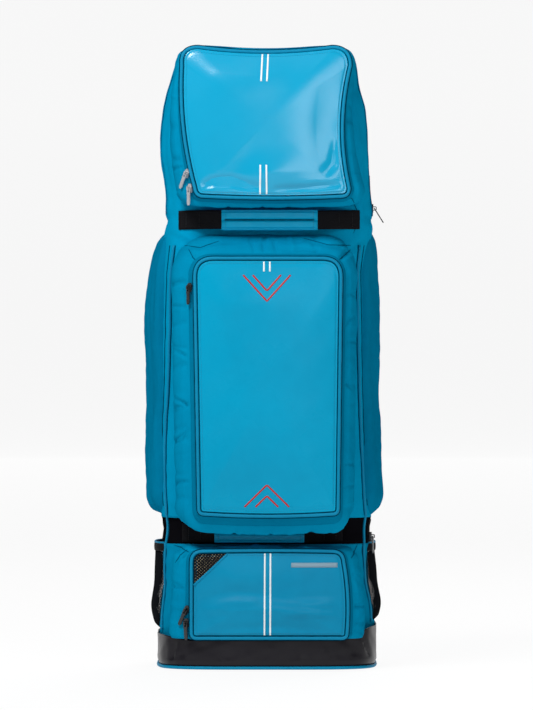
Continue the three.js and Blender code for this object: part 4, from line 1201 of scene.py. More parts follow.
    def base(self) -> None:
        """Builds the coated wrap round the base."""
        heights = (LOWER_FLOOR, self.heel_height, self.chest_height)
        foot, heel, chest = (self.lower_ring(z, self.wrap_wall) for z in heights)
        top = base_top_at(chest[:, 0])
        rings = []
        for z in (0.0, 0.4, 1.4, 3.2, 6.0, self.heel_height):
            ring = foot + (heel - foot) * smoothstep(np.array(z), -2.0, self.heel_height)
            if z < 1.0:
                ring = ring.mean(axis=0) + (ring - ring.mean(axis=0)) * (0.972 if z == 0.0 else 0.99)
            ring[:, 2] = z
            rings.append(ring)
        for share in np.linspace(0.08, 0.97, 16):
            ring = heel + (chest - heel) * share
            ring[:, 2] = self.heel_height + (top - self.heel_height) * share
            rings.append(ring)
        outer = np.array(rings)
        swell = stretched_ripple(outer, 1.6, 40.0, 31) + 0.35 * ripple(outer, 14.0, 32)
        darts = fold_relief(self.wrap_darts, outer[..., 0], outer[..., 2])
        grip = smoothstep(outer[..., 2], 2, 16)
        outer = pressed(outer, (swell + darts * (outer[..., 1] < 0)) * grip * 0.8)
        lip_out = outer[-1] + np.array([0, 0, 0.9])
        inner = self.lower_ring(self.chest_height, GAP)
        inner[:, 2] = outer[-1][:, 2] - 0.3
        middle = (lip_out + inner) / 2
        middle[:, 2] = np.maximum(lip_out[:, 2], inner[:, 2]) + 0.4
        deep = inner - np.array([0, 0, 9.0])
        whole = np.concatenate([outer, [lip_out], [middle], [inner], [deep]])
        self.pieces.append(cloth_for("base_wrap", "base_wrap_cloth", whole, BLACK_WRAP))

    def foot_cord(self) -> None:
        """Lays the covered cord round the foot of the wrap."""
        loop = self.lower_ring(4.4, self.wrap_wall + 2.6)
        loop[:, 2] = self.foot_cord_height
        out = unit((loop - loop.mean(axis=0)) * np.array([1, 1, 0]))
        rings = sweep_rings(loop, out, repeated(UPWARD, len(loop)), round_profile(self.foot_cord_radius, 10))
        cloth_for("base_piping", "base_piping_cord", rings, BLUE_CORD, hoop=True)

    def over_zip(self) -> None:
        """Lays the main zip's tape and coil over the top, from side to side."""
        skin = Skin(*self.pieces)
        line, ways = [], []
        for turn in np.linspace(-24.0, 204.0, 190):
            way = (math.cos(math.radians(turn)), 0.0, math.sin(math.radians(turn)))
            start = (way[0] * 500, -45.0, 735 + way[2] * 500)
            found = skin.hit(start, (-way[0], 0, -way[2]))
            if found is not None and found[0][2] > 660:
                line.append(found[0])
                ways.append(found[1] * np.array([1, 0, 1]))
        route = np.hstack([eased(np.array(line), 3), unit(eased(np.array(ways), 3))])
        route = spaced(route, 260, False)
        path, out = route[:, :3], route[:, 3:]
        across = repeated(BACKWARD, len(path))
        rings = sweep_rings(path + out * 0.5, across, out, strap_profile(self.main_tape, 1.6))
        cloth_for("main_zip", "main_zip_tape", rings, BLUE_TAPE)
        self.coil("main_zip_coil", path + out * 1.1, across, out, BLUE_TAPE)
        low = (path[:, 0] > 0) & (path[:, 2] < self.open_below)
        section = strap_profile(self.open_end, self.tape_thickness)
        rings = sweep_rings(path[low] + out[low] * 1.1, across[low], out[low], section)
        capped("main_zip_open_end", rings, BLACK_TAPE)

    def side_zip(self) -> None:
        """Lays the short side zip on the waist's right front corner."""
        skin = Skin(*self.pieces)
        line, ways = [], []
        for z in np.linspace(184.5, 217.5, 14):
            found = skin.hit((400.0, -58.0, z), (-1, 0, 0))
            if found is not None:
                line.append(found[0])
                ways.append(found[1] * np.array([1, 1, 0]))
        path, out = np.array(line), unit(np.array(ways))
        across = unit(np.cross(out, np.array(UPWARD)))
        rings = sweep_rings(path + out * 0.8, across, out, strap_profile(self.side_tape, self.tape_thickness))
        cloth_for("side_zip", "side_zip_tape", rings, BLACK_TAPE)
        self.coil("side_zip_coil", path + out * 1.9, across, out, BLACK_TAPE)

    def coil(self, name: str, path: Array, across: Array, out: Array, finish: Finish) -> None:
        """Lays a zip's coil of small teeth along a path.

        Args:
            name: The piece's name.
            path: The coil's middle.
            across: The direction across it at each point.
            out: The outward direction at each point.
            finish: Its finish.
        """
        count = int(length_of(path) / self.tooth_pitch)
        dense = spaced(np.hstack([path, across, out]), count, False)
        beat = np.where(np.arange(count) % 2 == 0, 1.0, self.tooth_gap)[:, None, None]
        profile = round_profile(1.0, 6) * np.array(self.tooth_half)
        rings = dense[:, None, :3] + dense[:, None, 3:6] * profile[None, :, :1] * beat
        rings = rings + dense[:, None, 6:] * profile[None, :, 1:] * beat
        capped(name, rings, finish)

    def build(self) -> None:
        """Builds the main bag."""
        self.upper()
        self.waist()
        self.lower()
        self.base()
        self.foot_cord()
        self.over_zip()
        self.side_zip()


# Pockets


# The share of the way to the face, and the shares of the flare at the sides, top and foot.
GUSSET_ROWS: Rows = (
    (-0.35, 0.75, 1.0, -0.1),
    (0.1, 1.0, 0.9, 0.15),
    (0.5, 0.95, 0.6, 0.75),
    (0.76, 0.62, 0.3, 1.0),
    (1 - ZIP_SHARE, *ZIP_FLARE),
)


@dataclass(frozen=True)
class Flare:
    """How far a gusset spreads beyond the face, and taper, how much of it is left at the top."""

    left: float
    right: float
    top: float
    foot: float
    taper: float


@dataclass
class Pocket:
    """A front pocket: gusset, zip band, piping and coated face.

    corners holds across, up, round and bow for each corner of the face, and dents holds across,
    up, wide, tall and push for each dent or swell.
    """

    name: str
    width: float
    height: float
    depth: float
    lean: float
    crown: float
    shift_x: float
    middle_z: float
    flare: Flare
    trunk: Trunk
    seat: tuple[float, float]
    corners: Rows
    dents: Rows
    folds: tuple[Fold, ...]
    puckers: float
    seed: int
    finish: Finish
    around: int = 500
    seam_shade_radius: float = 0.75
    panel_half: float = 1.1
    groove_depth: float = 0.9
    groove_inset: float = 3.2
    groove_half: float = 1.1
    outline: Array = field(init=False)
    outward: Array = field(init=False)

    def __post_init__(self) -> None:
        """Works out the face's outline."""
        self.outline = self.face_outline()
        step = np.roll(self.outline, -1, axis=0) - np.roll(self.outline, 1, axis=0)
        self.outward = unit(np.stack([step[:, 1], -step[:, 0]], axis=1))

    def face_outline(self) -> Array:
        """The face's outline in x and z, evenly spaced, against the clock from its lower right.

        Returns:
            The outline's points.
        """
        half = self.width / 2
        spots = [np.array([self.shift_x + c[0] * half, self.middle_z + c[1] * self.height / 2]) for c in self.corners]
        line = []
        for k in range(4):
            here, before, after = spots[k], spots[(k + 3) % 4], spots[(k + 1) % 4]
            own, following = self.corners[k][2], self.corners[(k + 1) % 4][2]
            start = here + unit(before - here) * own
            end = here + unit(after - here) * own
            for t in np.linspace(0, 1, 16):
                line.append((1 - t) ** 2 * start + 2 * t * (1 - t) * here + t * t * end)
            stop = after - unit(after - here) * following
            out = unit(np.array([after[1] - here[1], here[0] - after[0]]))
            for t in np.linspace(0, 1, 60)[1:-1]:
                line.append(end + (stop - end) * t + out * 4 * t * (1 - t) * self.corners[k][3] * half)
        return spaced(np.array(line), self.around, True)

    def up_share(self, z: Array) -> Array:
        """A height as a share of the face."""
        return np.clip((z - self.middle_z) / self.height + 0.5, 0, 1)

    def face_distance(self, z: Array) -> Array:
        """How far the face's edge stands from the mid plane at a height."""
        return HALF_DEPTH + self.depth - self.lean * self.up_share(z)

    def ring(self, depth: float, side: float, top: float, foot: float, offset: float, back: float = 0.0) -> Array:
        """A ring round the pocket.

        Args:
            depth: The share of the way from the body to the face.
            side: The share of the flare on the sides.
            top: The share of it on top.
            foot: The share of it below.
            offset: How far outside the outline.
            back: How far it is moved towards the body.

        Returns:
            The ring's points.
        """
        out, z = self.outward, self.outline[:, 1]
        flank = np.where(out[:, 0] < 0, self.flare.left, self.flare.right) * side
        flank = flank * (1 + (self.flare.taper - 1) * self.up_share(z))
        end = np.where(out[:, 1] > 0, self.flare.top * top, self.flare.foot * foot)
        grow = offset + flank * out[:, 0] ** 2 + end * out[:, 1] ** 2
        spots = self.outline + out * grow[:, None]
        body = self.trunk.halves(np.clip(spots[:, 1], *self.seat))[2]
        y = body + (self.face_distance(z) - body) * depth - back
        return np.stack([spots[:, 0], -y, spots[:, 1]], axis=1)

    def face_ring(self, offset: float, back: float = 0.0) -> Array:
        """A ring at the face, outside its outline by an offset and moved back."""
        return self.ring(1, 0, 0, 0, offset, back)

    def zip_ring(self, offset: float, back: float = 0.0) -> Array:
        """A ring where the gusset meets the zip."""
        return self.ring(1 - ZIP_SHARE, *ZIP_FLARE, offset, back)

    def round_face(self, loop: Array, radius: float, sides: int) -> Array:
        """Rings of a round cord along a loop at the face."""
        out = np.stack([self.outward[:, 0], np.zeros(self.around), self.outward[:, 1]], axis=1)
        return sweep_rings(loop, out, repeated(FORWARD, self.around), round_profile(radius, sides))

    def run(self) -> Array:
        """How far round the outline each point is."""
        step = np.linalg.norm(np.roll(self.outline, -1, axis=0) - self.outline, axis=1)
        return np.concatenate([[0], np.cumsum(step)[:-1]])

    def gathers(self, depths: Array) -> Array:
        """The small puckers that run across the gusset from the body to the zip.

        Args:
            depths: The rings' depth shares.

        Returns:
            How far each point of each ring moves outwards.
        """
        source = np.random.default_rng(self.seed)
        around = self.run()
        whole = around[-1] + 3
        relief = np.zeros((len(depths), len(around)))
        spot = source.uniform(0, 20)
        while spot < whole:
            slant = source.uniform(-16, 16)
            wide = source.uniform(2.2, 5.5)
            push = source.uniform(-1.8, 0.8) * self.puckers
            start = source.uniform(0.0, 0.35)
            gap = around[None, :] - spot - slant * (depths[:, None] - 0.5)
            gap = (gap + whole / 2) % whole - whole / 2
            hold = smoothstep(depths, start - 0.15, start + 0.15)[:, None]
            relief += push * hold * np.exp(-((gap / wide) ** 2))
            spot += source.uniform(13, 34)
        ends = np.clip(np.sin(math.pi * np.clip((depths + 0.1) / 1.2, 0, 1)), 0, 1) ** 0.6
        return relief * ends[:, None]

    def gusset(self) -> None:
        """Builds the gathered cloth between the body and the zip."""
        table = np.array(GUSSET_ROWS)
        depths = np.concatenate([np.linspace(-0.35, 0.4, 14), np.linspace(0.42, 1 - ZIP_SHARE, 34)])
        shares = [smooth_row(table[:, 0], table[:, k], depths) for k in (1, 2, 3)]
        rows = np.stack([depths, *shares], axis=1)
        outer = np.array([self.ring(*row, HALF_WALL, GAP) for row in rows])
        inner = np.array([self.ring(*row, -HALF_WALL, GAP) for row in rows[::6]])
        relief = self.gathers(depths) + 1.1 * ripple(outer, 32.0, self.seed + 5)
        relief += fold_relief(self.folds, outer[..., 0], outer[..., 2])
        hold = smoothstep(-depths, -(1 - ZIP_SHARE), -0.79)[:, None]
        outer = pressed(outer, relief * hold)
        if self.trunk is LOWER:
            for sheet in (outer, inner):
                z = sheet[..., 2]
                sheet[..., 2] = np.maximum(z, BASE_CLEARANCE + 0.12 * (z - BASE_CLEARANCE))
        inner = np.concatenate([inner[:-1], [self.zip_ring(-HALF_WALL, GAP)]])
        whole = np.concatenate([outer, inner[::-1]])
        cloth_for(f"{self.name}_gusset", f"{self.name}_gusset_cloth", whole, BLUE_CLOTH, hoop=True)

    def zip_band(self) -> None:
        """Builds the zip's tape round the face, with the slit between its two halves."""
        outer = []
        for t in np.linspace(0, 1, 15):
            rise = HALF_WALL + 0.5 * math.sin(math.pi * t) ** 0.5 - 1.5 * math.exp(-(((t - 0.5) / 0.07) ** 2))
            rise += 0.5 * math.exp(-(((t - 0.06) / 0.05) ** 2))
            start = self.zip_ring(rise)
            end = self.face_ring(rise, PIPING_RADIUS + GAP)
            outer.append(start + (end - start) * t)
        inner = [self.face_ring(-HALF_WALL, PIPING_RADIUS + GAP), self.zip_ring(-HALF_WALL)]
        cloth_for(f"{self.name}_zip", f"{self.name}_zip_tape", np.array(outer + inner), BLUE_TAPE, hoop=True)

    def piping(self) -> None:
        """Builds the covered cord round the face."""
        loop = self.face_ring(0)
        pucker = 1 + 0.05 * ripple(loop, 12.0, self.seed + 9)
        rings = sized(loop, self.round_face(loop, PIPING_RADIUS, 12), pucker[:, None, None])
        cloth_for(f"{self.name}_piping", f"{self.name}_piping_cord", rings, BLUE_CORD, hoop=True)

    def seams(self) -> None:
        """Lays two dark tubes in the sunken seams beside the cord, as painted seam shade."""
        for name, offset, back in (("inner", -PIPING_RADIUS - 0.9, -0.75), ("outer", PIPING_RADIUS + 0.5, 1.5)):
            rings = self.round_face(self.face_ring(offset, back), self.seam_shade_radius, 6)
            wrapped(f"{self.name}_{name}_seam", rings, PAINTED_SEAM_SHADE)

    def dent_at(self, x: Array, z: Array) -> Array:
        """What the dents and swells do, as a share of the crown.

        Args:
            x: The places' x.
            z: The places' z.

        Returns:
            The share at each place.
        """
        u, v = (x - self.shift_x) / (self.width / 2), (z - self.middle_z) / (self.height / 2)
        total = np.zeros(np.shape(x))
        for across, up, wide, tall, push in self.dents:
            total = total + push * np.exp(-(((u - across) / wide) ** 2) - ((v - up) / tall) ** 2)
        return total

    def face_rings(self, shares: Array, layer: float) -> Array:
        """Rings of the face from its edge to its middle.

        Args:
            shares: How far out each ring is.
            layer: How far in front of the face's middle surface.

        Returns:
            The rings.
        """
        edge = self.face_ring(-PIPING_RADIUS - GAP)
        middle = edge.mean(axis=0)
        rings = middle + (edge - middle)[None, :, :] * shares[:, None, None]
        x, z = rings[..., 0], rings[..., 2]
        shape = 1 - shares[:, None] ** 2.4 + self.dent_at(x, z) * np.minimum(1, 3 * (1 - shares[:, None]))
        held = smoothstep(1 - shares, 0.0, 0.12)[:, None]
        folds = held * (fold_relief(self.folds, x, z) + 0.5 * ripple(rings, 60.0, self.seed + 3))
        rings[..., 1] = -self.face_distance(z) - self.crown * shape - layer - folds
        return rings

    def face(self) -> bpy.types.Object:
        """Builds the coated face with a turned edge.

        Returns:
            The face.
        """
        shares = np.concatenate([np.linspace(1, 0.9, 9), np.linspace(0.88, 0.02, 46)])
        front = self.face_rings(shares, self.panel_half)
        inset = (1 - shares) * self.width / 2 - self.groove_inset
        groove = self.groove_depth * np.exp(-(inset / self.groove_half) ** 2)
        front[..., 1] += groove[:, None]
        rim = self.face_rings(np.array([1.0]), self.panel_half)[0]
        turned = [rim + np.array([0, 1.2, 0]), rim + np.array([0, 0.25, 0])]
        back = self.face_rings(np.array([0.05, 0.5, 0.97]), -self.panel_half)
        whole = np.concatenate([back, turned, front[1:]])
        return capped(f"{self.name}_face", whole, self.finish)

    def dress(self, face: bpy.types.Object) -> None:
        """Sews a row of stitches just inside the face's edge.

        Args:
            face: The built face.
        """
        skin = Skin(face)
        inset = self.outline - self.outward * 7.2
        line, out = skin.front(np.vstack([inset, inset[:1]]))
        stitch_row(f"{self.name}_face_stitches", line, out, BLUE_THREAD)

    def build(self) -> bpy.types.Object:
        """Builds the pocket.

        Returns:
            Its face.
        """
        self.gusset()
        self.zip_band()
        self.piping()
        self.seams()
        face = self.face()
        stand_for(face, f"{self.name}_panel")
        self.dress(face)
        return face


@dataclass
class Print:
    """Stripes and marks printed on a face."""

    face: bpy.types.Object
    lift: float = 0.16

    def stroke(self, name: str, spots: Sequence[tuple[float, float]], width: float, finish: Finish) -> None:
        """Prints one stroke.

        Args:
            name: The piece's name.
            spots: The stroke's middle as x and z.
            width: Its width.
            finish: Its colour.
        """
        route = np.array(spots, dtype=float)
        line = spaced(route, max(8, int(length_of(route) / 2.5)), False)
        places, out = Skin(self.face).front(line, self.lift)
        profile = np.array([(-1, -0.3), (-1, 0.1), (1, 0.1), (1, -0.3)]) * np.array([width / 2, 1.0])
        capped(name, sweep_rings(places, across_of(places, out), out, profile), finish)


TOP_POCKET = Pocket(
    name="top_pocket", width=250, height=219, depth=58, lean=34, crown=11, shift_x=-2, middle_z=802.6,
    flare=Flare(30, 24, 3, 13, 0.2), trunk=UPPER, seat=(UPPER_FLOOR, BAG_TOP),
    corners=((0.98, -1, 12, -0.085), (1, 1, 27, -0.055), (-1, 1, 27, 0.06), (-0.81, -1, 12, 0.02)),
    dents=(
        (-0.42, -0.8, 0.4, 0.3, -0.35), (0.1, -0.72, 0.35, 0.25, 0.5),
        (0.85, -0.1, 0.25, 0.5, -0.6), (-0.2, 0.6, 0.5, 0.3, 0.3),
    ),
    folds=(
        Fold(((-97, 706), (-78, 714), (-52, 715), (-8, 703)), -3.6, 8),
        Fold(((82, 724), (98, 742), (104, 778)), -2.0, 8), Fold(((10, 702), (60, 704), (108, 710)), -2.8, 6),
    ),
    puckers=1.8, seed=41, finish=BLUE_TOP_PANEL,
)
MID_POCKET = Pocket(
    name="mid_pocket", width=214, height=373, depth=78, lean=4, crown=9, shift_x=2, middle_z=416.1,
    flare=Flare(34, 23, 36, 27, 1), trunk=UPPER, seat=(229.6, BAG_TOP),
    corners=((0.955, -1, 8, 0), (1, 1, 28, 0), (-1, 1, 28, 0), (-0.94, -1, 8, 0.03)),
    dents=((-0.3, 0.75, 0.5, 0.2, 0.4), (0.1, -0.85, 0.6, 0.15, -0.4)),
    folds=(
        Fold(((-121, 620), (-75, 627), (-4, 631), (66, 629), (124, 616)), -1.6, 5),
        Fold(((-120, 622), (-97, 618), (-70, 628)), -3.0, 3), Fold(((-118, 616), (-99, 598)), -3.6, 3),
        Fold(((124, 616), (103, 598)), -3.8, 3), Fold(((26, 613), (55, 617), (77, 614)), -2.2, 3),
        Fold(((55, 632), (91, 622), (124, 622)), -2.8, 3), Fold(((-138, 470), (-112, 456)), -2.0, 3),
        Fold(((-136, 398), (-110, 386)), -2.4, 3), Fold(((-138, 330), (-112, 352)), -2.0, 3),
        Fold(((130, 520), (112, 504)), -2.2, 3), Fold(((128, 410), (112, 424)), -2.2, 3),
        Fold(((-128, 236), (-60, 214), (40, 212), (120, 230)), 1.4, 9),
    ),
    puckers=2.0, seed=52, finish=BLUE_PANEL,
)
LOW_POCKET = Pocket(
    name="low_pocket", width=228, height=127, depth=52, lean=3, crown=7, shift_x=4, middle_z=110.5,
    flare=Flare(32, 26, 5, 0, 0.8), trunk=LOWER, seat=(47.0, LOWER_TOP),
    corners=((1, -1, 8, 0.03), (0.95, 1, 17, 0.01), (-1, 1, 17, 0), (-1, -1, 8, 0)),
    dents=((0.4, -0.35, 0.5, 0.25, 0.6), (-0.3, 0.1, 0.6, 0.2, -0.5)),
    folds=(
        Fold(((-100, 104), (-40, 112), (30, 103), (100, 110)), -1.5, 8),
        Fold(((-90, 88), (-20, 94), (70, 90)), 1.2, 8), Fold(((20, 80), (60, 84), (100, 80)), 1.2, 6),
        Fold(((-70, 60), (0, 64), (90, 58)), -1.0, 7), Fold(((-137, 180), (-112, 173)), -1.6, 3),
        Fold(((-117, 176), (-134, 156)), -1.8, 3.5), Fold(((-140, 128), (-118, 118)), -1.3, 3.5),
        Fold(((134, 181), (124, 163)), -1.8, 3.5), Fold(((122, 92), (144, 90)), -1.4, 3),
        Fold(((126, 140), (142, 120)), -1.4, 4), Fold(((-60, 92), (0, 96), (96, 88)), -1.4, 5),
    ),
    puckers=3.0, seed=63, finish=BLUE_LOW_PANEL,
)


@dataclass
class Vent:
    """The net corner of the low pocket's face."""

    width: float = 57.0
    height: float = 53.0
    binding: float = 3.0
    net_width: float = 64.0
    net_height: float = 60.0
    lining_depth: float = 1.4
    edge_inset: float = 3.6
    mesh_size: float = 4.4
    thread: float = 0.9

    def cut(self, face: bpy.types.Object) -> None:
        """Cuts the corner out of the face and makes its dark lining from it.

        Args:
            face: The low pocket's face.
        """
        lining = face.copy()
        lining.data = face.data.copy()
        lining.name = "low_pocket_vent_lining"
        bpy.context.scene.collection.objects.link(lining)
        lining.data.materials[0] = VENT_LINING.material()
        start, end = self.line()
        along = (end - start) / np.linalg.norm(end - start)
        normal = (-along[1], 0.0, along[0])
        for piece, inner in ((face, False), (lining, True)):
            select_only(piece)
            bpy.ops.object.mode_set(mode="EDIT")
            bpy.ops.mesh.select_all(action="SELECT")
            bpy.ops.mesh.bisect(plane_co=(start[0] * MM, 0, start[1] * MM), plane_no=normal, use_fill=True,
                                clear_outer=not inner, clear_inner=inner)
            bpy.ops.object.mode_set(mode="OBJECT")
        for vertex in lining.data.vertices:
            vertex.co.y += self.lining_depth * MM
        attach(lining, BODY)

    def corner(self) -> tuple[float, float]:
        """The face's left side and its top, as x and z."""
        return LOW_POCKET.shift_x - LOW_POCKET.width / 2, LOW_POCKET.middle_z + LOW_POCKET.height / 2

    def line(self) -> tuple[Array, Array]:
        """The slanting edge from the face's left side to its top, as x and z.

        Returns:
            The edge's two ends.
        """
        left, top = self.corner()
        first = np.array([left - self.width, top - 2 * self.height])
        second = np.array([left + 2 * self.width, top + self.height])
        return first, second

    def build(self, face: bpy.types.Object, whole: Skin) -> None:
        """Builds the net, its lining and the binding along its edge.

        Args:
            face: The low pocket's face.
            whole: The skin of the uncut face.
        """
        first, second = self.line()
        way = unit(second - first)
        self.cut(face)
        left, top = self.corner()
        edge = LOW_POCKET.outline - LOW_POCKET.outward * self.edge_inset

        def room(x: float, z: float) -> float:
            """How far a place lies inside the face's edge."""
            near = np.argmin((edge[:, 0] - x) ** 2 + (edge[:, 1] - z) ** 2)
            return float((edge[near] - np.array([x, z])) @ LOW_POCKET.outward[near])

        def place(across: Array, up: Array) -> tuple[Array, Array]:
            """The net's shares as x and z."""
            return left + across * self.net_width, top - self.net_height + up * self.net_height

        def inside(across: float, up: float) -> bool:
            """Whether a share lies in the corner and inside the face's edge.

            Args:
                across: The share of the net's width.
                up: The share of its height.

            Returns:
                True where the net has thread.
            """
            x, z = place(across, up)
            beyond = (x - first[0]) * -way[1] + (z - first[1]) * way[0]
            return bool(beyond > 0.6 and room(x, z) > 0.4)

        def lay(across: Array, up: Array) -> Array:
            """Lays the net's shares on the face.

            Args:
                across: The shares of the net's width.
                up: The shares of its height.

            Returns:
                The places.
            """
            x, z = place(across, up)
            y = np.zeros(x.shape)
            for index in np.ndindex(x.shape):
                found = whole.hit((x[index], -RAY_START, z[index]), BACKWARD)
                y[index] = found[0][1] + 0.1 if found is not None else -LOW_POCKET.face_distance(z[index])
            return np.stack([x, y, z], axis=-1)

        size = (self.net_width, self.net_height, self.mesh_size, self.thread)
        mesh = net("low_pocket_vent_net", lay, *size, BLACK_NET, inside)
        stand_for(mesh, "low_pocket_vent")
        spots = [first + way * t for t in np.linspace(0, np.linalg.norm(second - first), 80)]
        spots = np.array([s for s in spots if abs(s[0] - left) < 200 and room(*s) > -0.5])
        places, out = whole.front(spots, 0.3)
        rings = sweep_rings(places, across_of(places, out), out, strap_profile(self.binding, 1.0, 0.4))
        capped("low_pocket_vent_binding", rings, BLUE_CORD)


# Side compartments


@dataclass
class Flank:
    """One side's sleeve, net pocket, elastic band and edge piping.

    sleeve_rows and net_rows hold up, out and deep: shares of the height, bulge and half depth.
    route holds a share of the way up and the turn from the side towards the front.
    """

    side: Side
    name: str
    base_rise: float
    route: Rows
    sleeve_rows: Rows = (
        (0.002, -0.35, 0.6), (0.03, 0.55, 0.88), (0.08, 0.92, 0.97), (0.2, 0.95, 1.0), (0.45, 0.85, 1.0),
        (0.7, 1.0, 1.0), (0.86, 0.75, 0.97), (0.95, 0.35, 0.86), (1, -0.3, 0.6),
    )
    net_rows: Rows = ((0, -0.2, 0.8), (0.1, 0.6, 0.95), (0.35, 1.0, 1.0), (0.7, 0.95, 1.0), (1, 0.75, 0.98))
    sleeve_height: float = 425.0
    sleeve_bulge: float = 20.0
    sleeve_half: float = 74.0
    net_bulge: float = 14.0
    net_half: float = 62.0
    root: float = 12.0
    edge_top: float = 622.0
    cord_radius: float = 1.9
    cord_stand: float = 1.3
    seam_gap: float = 2.3
    seam_shade_radius: float = 0.7
    welt_floor: float = 236.0
    welt_radius: float = 0.8
    net_width: float = 150.0
    mesh_size: float = 4.6
    thread: float = 1.25
    mouth_height: float = 12.0
    band_section: tuple[float, float, float] = (11.6, 2.2, 0.5)
    binding_radius: float = 1.5

    def pocket_floor(self) -> float:
        """Where the net pocket stands on the base wrap."""
        return BASE_HEIGHT + self.base_rise + FABRIC_WALL

    def ring_points(self, trunk: Trunk, angle: Array, z: Array, rx: Array, ry: Array, fold: float) -> Array:
        """Points of the side forms.

        Args:
            trunk: The body part that carries the form.
            angle: The turn round the form, from its outermost line.
            z: The height.
            rx: How far it reaches outwards.
            ry: Its half depth.
            fold: How deep its upright folds are.

        Returns:
            The points.
        """
        s = float(self.side.value)
        left, right, _, _ = trunk.halves(z)
        centre = s * ((right if s > 0 else left) - self.root)
        facing = np.maximum(0, np.cos(angle)) ** 0.5
        crease = fold * np.cos(5 * angle + 0.6 * np.sin(z / 60.0)) * facing
        x = centre + s * (rx + crease) * np.sign(np.cos(angle)) * np.abs(np.cos(angle)) ** 0.7
        y = ry * np.sign(np.sin(angle)) * np.abs(np.sin(angle)) ** 0.8
        return np.stack(np.broadcast_arrays(x, y, z), axis=-1)

    def sleeve(self) -> None:
        """Builds the long sleeve pocket."""
        table = np.array(self.sleeve_rows)
        up = np.linspace(0.002, 1, 130)[:, None]
        out, deep = (smooth_row(table[:, 0], table[:, k], up[:, 0])[:, None] for k in (1, 2))
        angle = np.linspace(0, 2 * math.pi, 132, endpoint=False)[None, :]
        z = UPPER_FLOOR + GAP + up * self.sleeve_height
        reach = np.maximum(self.root + out * self.sleeve_bulge, GAP)
        rings = self.ring_points(UPPER, angle, z + 0 * angle, reach, self.sleeve_half * deep, 3.4)
        relief = 1.8 * stretched_ripple(rings, 0.3, 26.0, 71 + self.side.value)
        relief += 0.4 * ripple(rings, 14.0, 75 + self.side.value)
        facing = grid_normals(rings) * self.side.value
        rings = rings + facing * relief[..., None]
        cloth_for(f"{self.name}_sleeve", f"{self.name}_sleeve_cloth", rings, BLUE_SIDE_CLOTH_PAINTED_SHADE)

    def net_pocket(self) -> None:
        """Builds the net pocket with its elastic mouth."""
        table = np.array(self.net_rows)
        floor = self.pocket_floor()
        height = LOWER_TOP - self.mouth_height - GAP - floor

        def lay(across: Array, up: Array) -> Array:
            """Lays the net's shares on the pocket's form.

            Args:
                across: The shares of the net's width.
                up: The shares of its height.

            Returns:
                The places.
            """
            angle = (across - 0.5) * math.radians(172)
            out, deep = (smooth_row(table[:, 0], table[:, k], up) for k in (1, 2))
            rx = np.maximum(self.root + out * self.net_bulge, GAP)
            return self.ring_points(LOWER, angle, floor + up * height, rx, self.net_half * deep, 0.0)

        mesh = net(f"{self.name}_pocket_net", lay, self.net_width, height, self.mesh_size, self.thread, BLACK_NET)
        stand_for(mesh, f"{self.name}_mesh_pocket")
        angle = np.linspace(-math.radians(88), math.radians(88), 90)
        mouth = table[-1]
        z = np.full(angle.shape, LOWER_TOP - 6.2)
        line = self.ring_points(LOWER, angle, z, self.root + mouth[1] * self.net_bulge, self.net_half * mouth[2], 0.0)
        gather = 1 + 0.02 * np.sin(np.arange(90) * 1.9)[:, None]
        up = repeated(UPWARD, len(line))
        out = unit(np.cross(np.gradient(line, axis=0), up)) * self.side.value
        rings = sized(line, sweep_rings(line, up, out, strap_profile(*self.band_section)), gather[:, None])
        cloth_for(f"{self.name}_elastic_band", f"{self.name}_elastic_cloth", rings, BLACK_ELASTIC)
        cord = line + np.array([0, 0, 6.6])
        rings = sweep_rings(cord, up, out, round_profile(self.binding_radius, 8))
        capped(f"{self.name}_pocket_binding", rings, BLUE_CORD)

    def edge(self, skin: Skin) -> None:
        """Lays the piping down the front corner and over the waist, with dark tubes beside it as painted seam shade.

        Args:
            skin: The body's outside.
        """
        table = np.array(self.route)
        foot = self.pocket_floor() + self.cord_radius
        up = np.linspace(0, 1, 150)
        turns = np.radians(smooth_row(table[:, 0], table[:, 1], up))
        line, ways = [], []
        for share, turn in zip(up, turns):
            z = foot + share * (self.edge_top - foot)
            trunk = UPPER if z > UPPER_FLOOR else (WAIST if z > WAIST_FLOOR else LOWER)
            angle = -turn if self.side is Side.RIGHT else math.pi + turn
            spot = trunk.rings(np.array([angle]), np.array([z]))[0, 0]
            way = unit(np.array([spot[0] / HALF_WIDTH, spot[1] / HALF_DEPTH, 0.0]))
            found = skin.hit(spot + way * 90, -way)
            if found is not None:
                line.append(found[0])
                ways.append(way)
        path = eased(np.array(line), 6)
        out = unit(np.array(ways))
        path = path + out * self.cord_stand
        across = across_of(path, out)
        rings = sweep_rings(path, across, out, round_profile(self.cord_radius, 10))
        cloth_for(f"{self.name}_edge_piping", f"{self.name}_edge_cord", rings, BLUE_CORD)
        self.welt(skin, path, out)
        # Dark tubes on either side of the piping: painted seam shade.
        for end, move in (("inner", -self.seam_gap), ("outer", self.seam_gap)):
            rings = sweep_rings(path + across * move - out, across, out, round_profile(self.seam_shade_radius, 6))
            capped(f"{self.name}_edge_{end}_seam", rings, PAINTED_SEAM_SHADE)

    def welt(self, skin: Skin, path: Array, out: Array) -> None:
        """Lays a dark tube along the flat seam that runs outside the piping, beside the sleeve, as painted seam shade.

        Args:
            skin: The body's outside.
            path: The piping's middle.
            out: The outward direction at each of its points.
        """
        line, ways = [], []
        for spot, way in zip(path, out):
            turned = unit(way + np.array([0.2 * self.side.value, 0.0, 0.0]))
            found = skin.hit(spot + np.array([7.5 * self.side.value, 9.0, 0.0]) + turned * 60, -turned)
            if found is not None and spot[2] > self.welt_floor:
                line.append(found[0] + found[1] * 0.1)
                ways.append(turned)
        line, ways = eased(np.array(line), 4), np.array(ways)
        rings = sweep_rings(line, across_of(line, ways), ways, round_profile(self.welt_radius, 6))
        capped(f"{self.name}_sleeve_seam_shade", rings, PAINTED_SEAM_SHADE)

    def build(self, skin: Skin) -> None:
        """Builds one side.

        Args:
            skin: The body's outside.
        """
        self.sleeve()
        self.net_pocket()
        self.edge(skin)


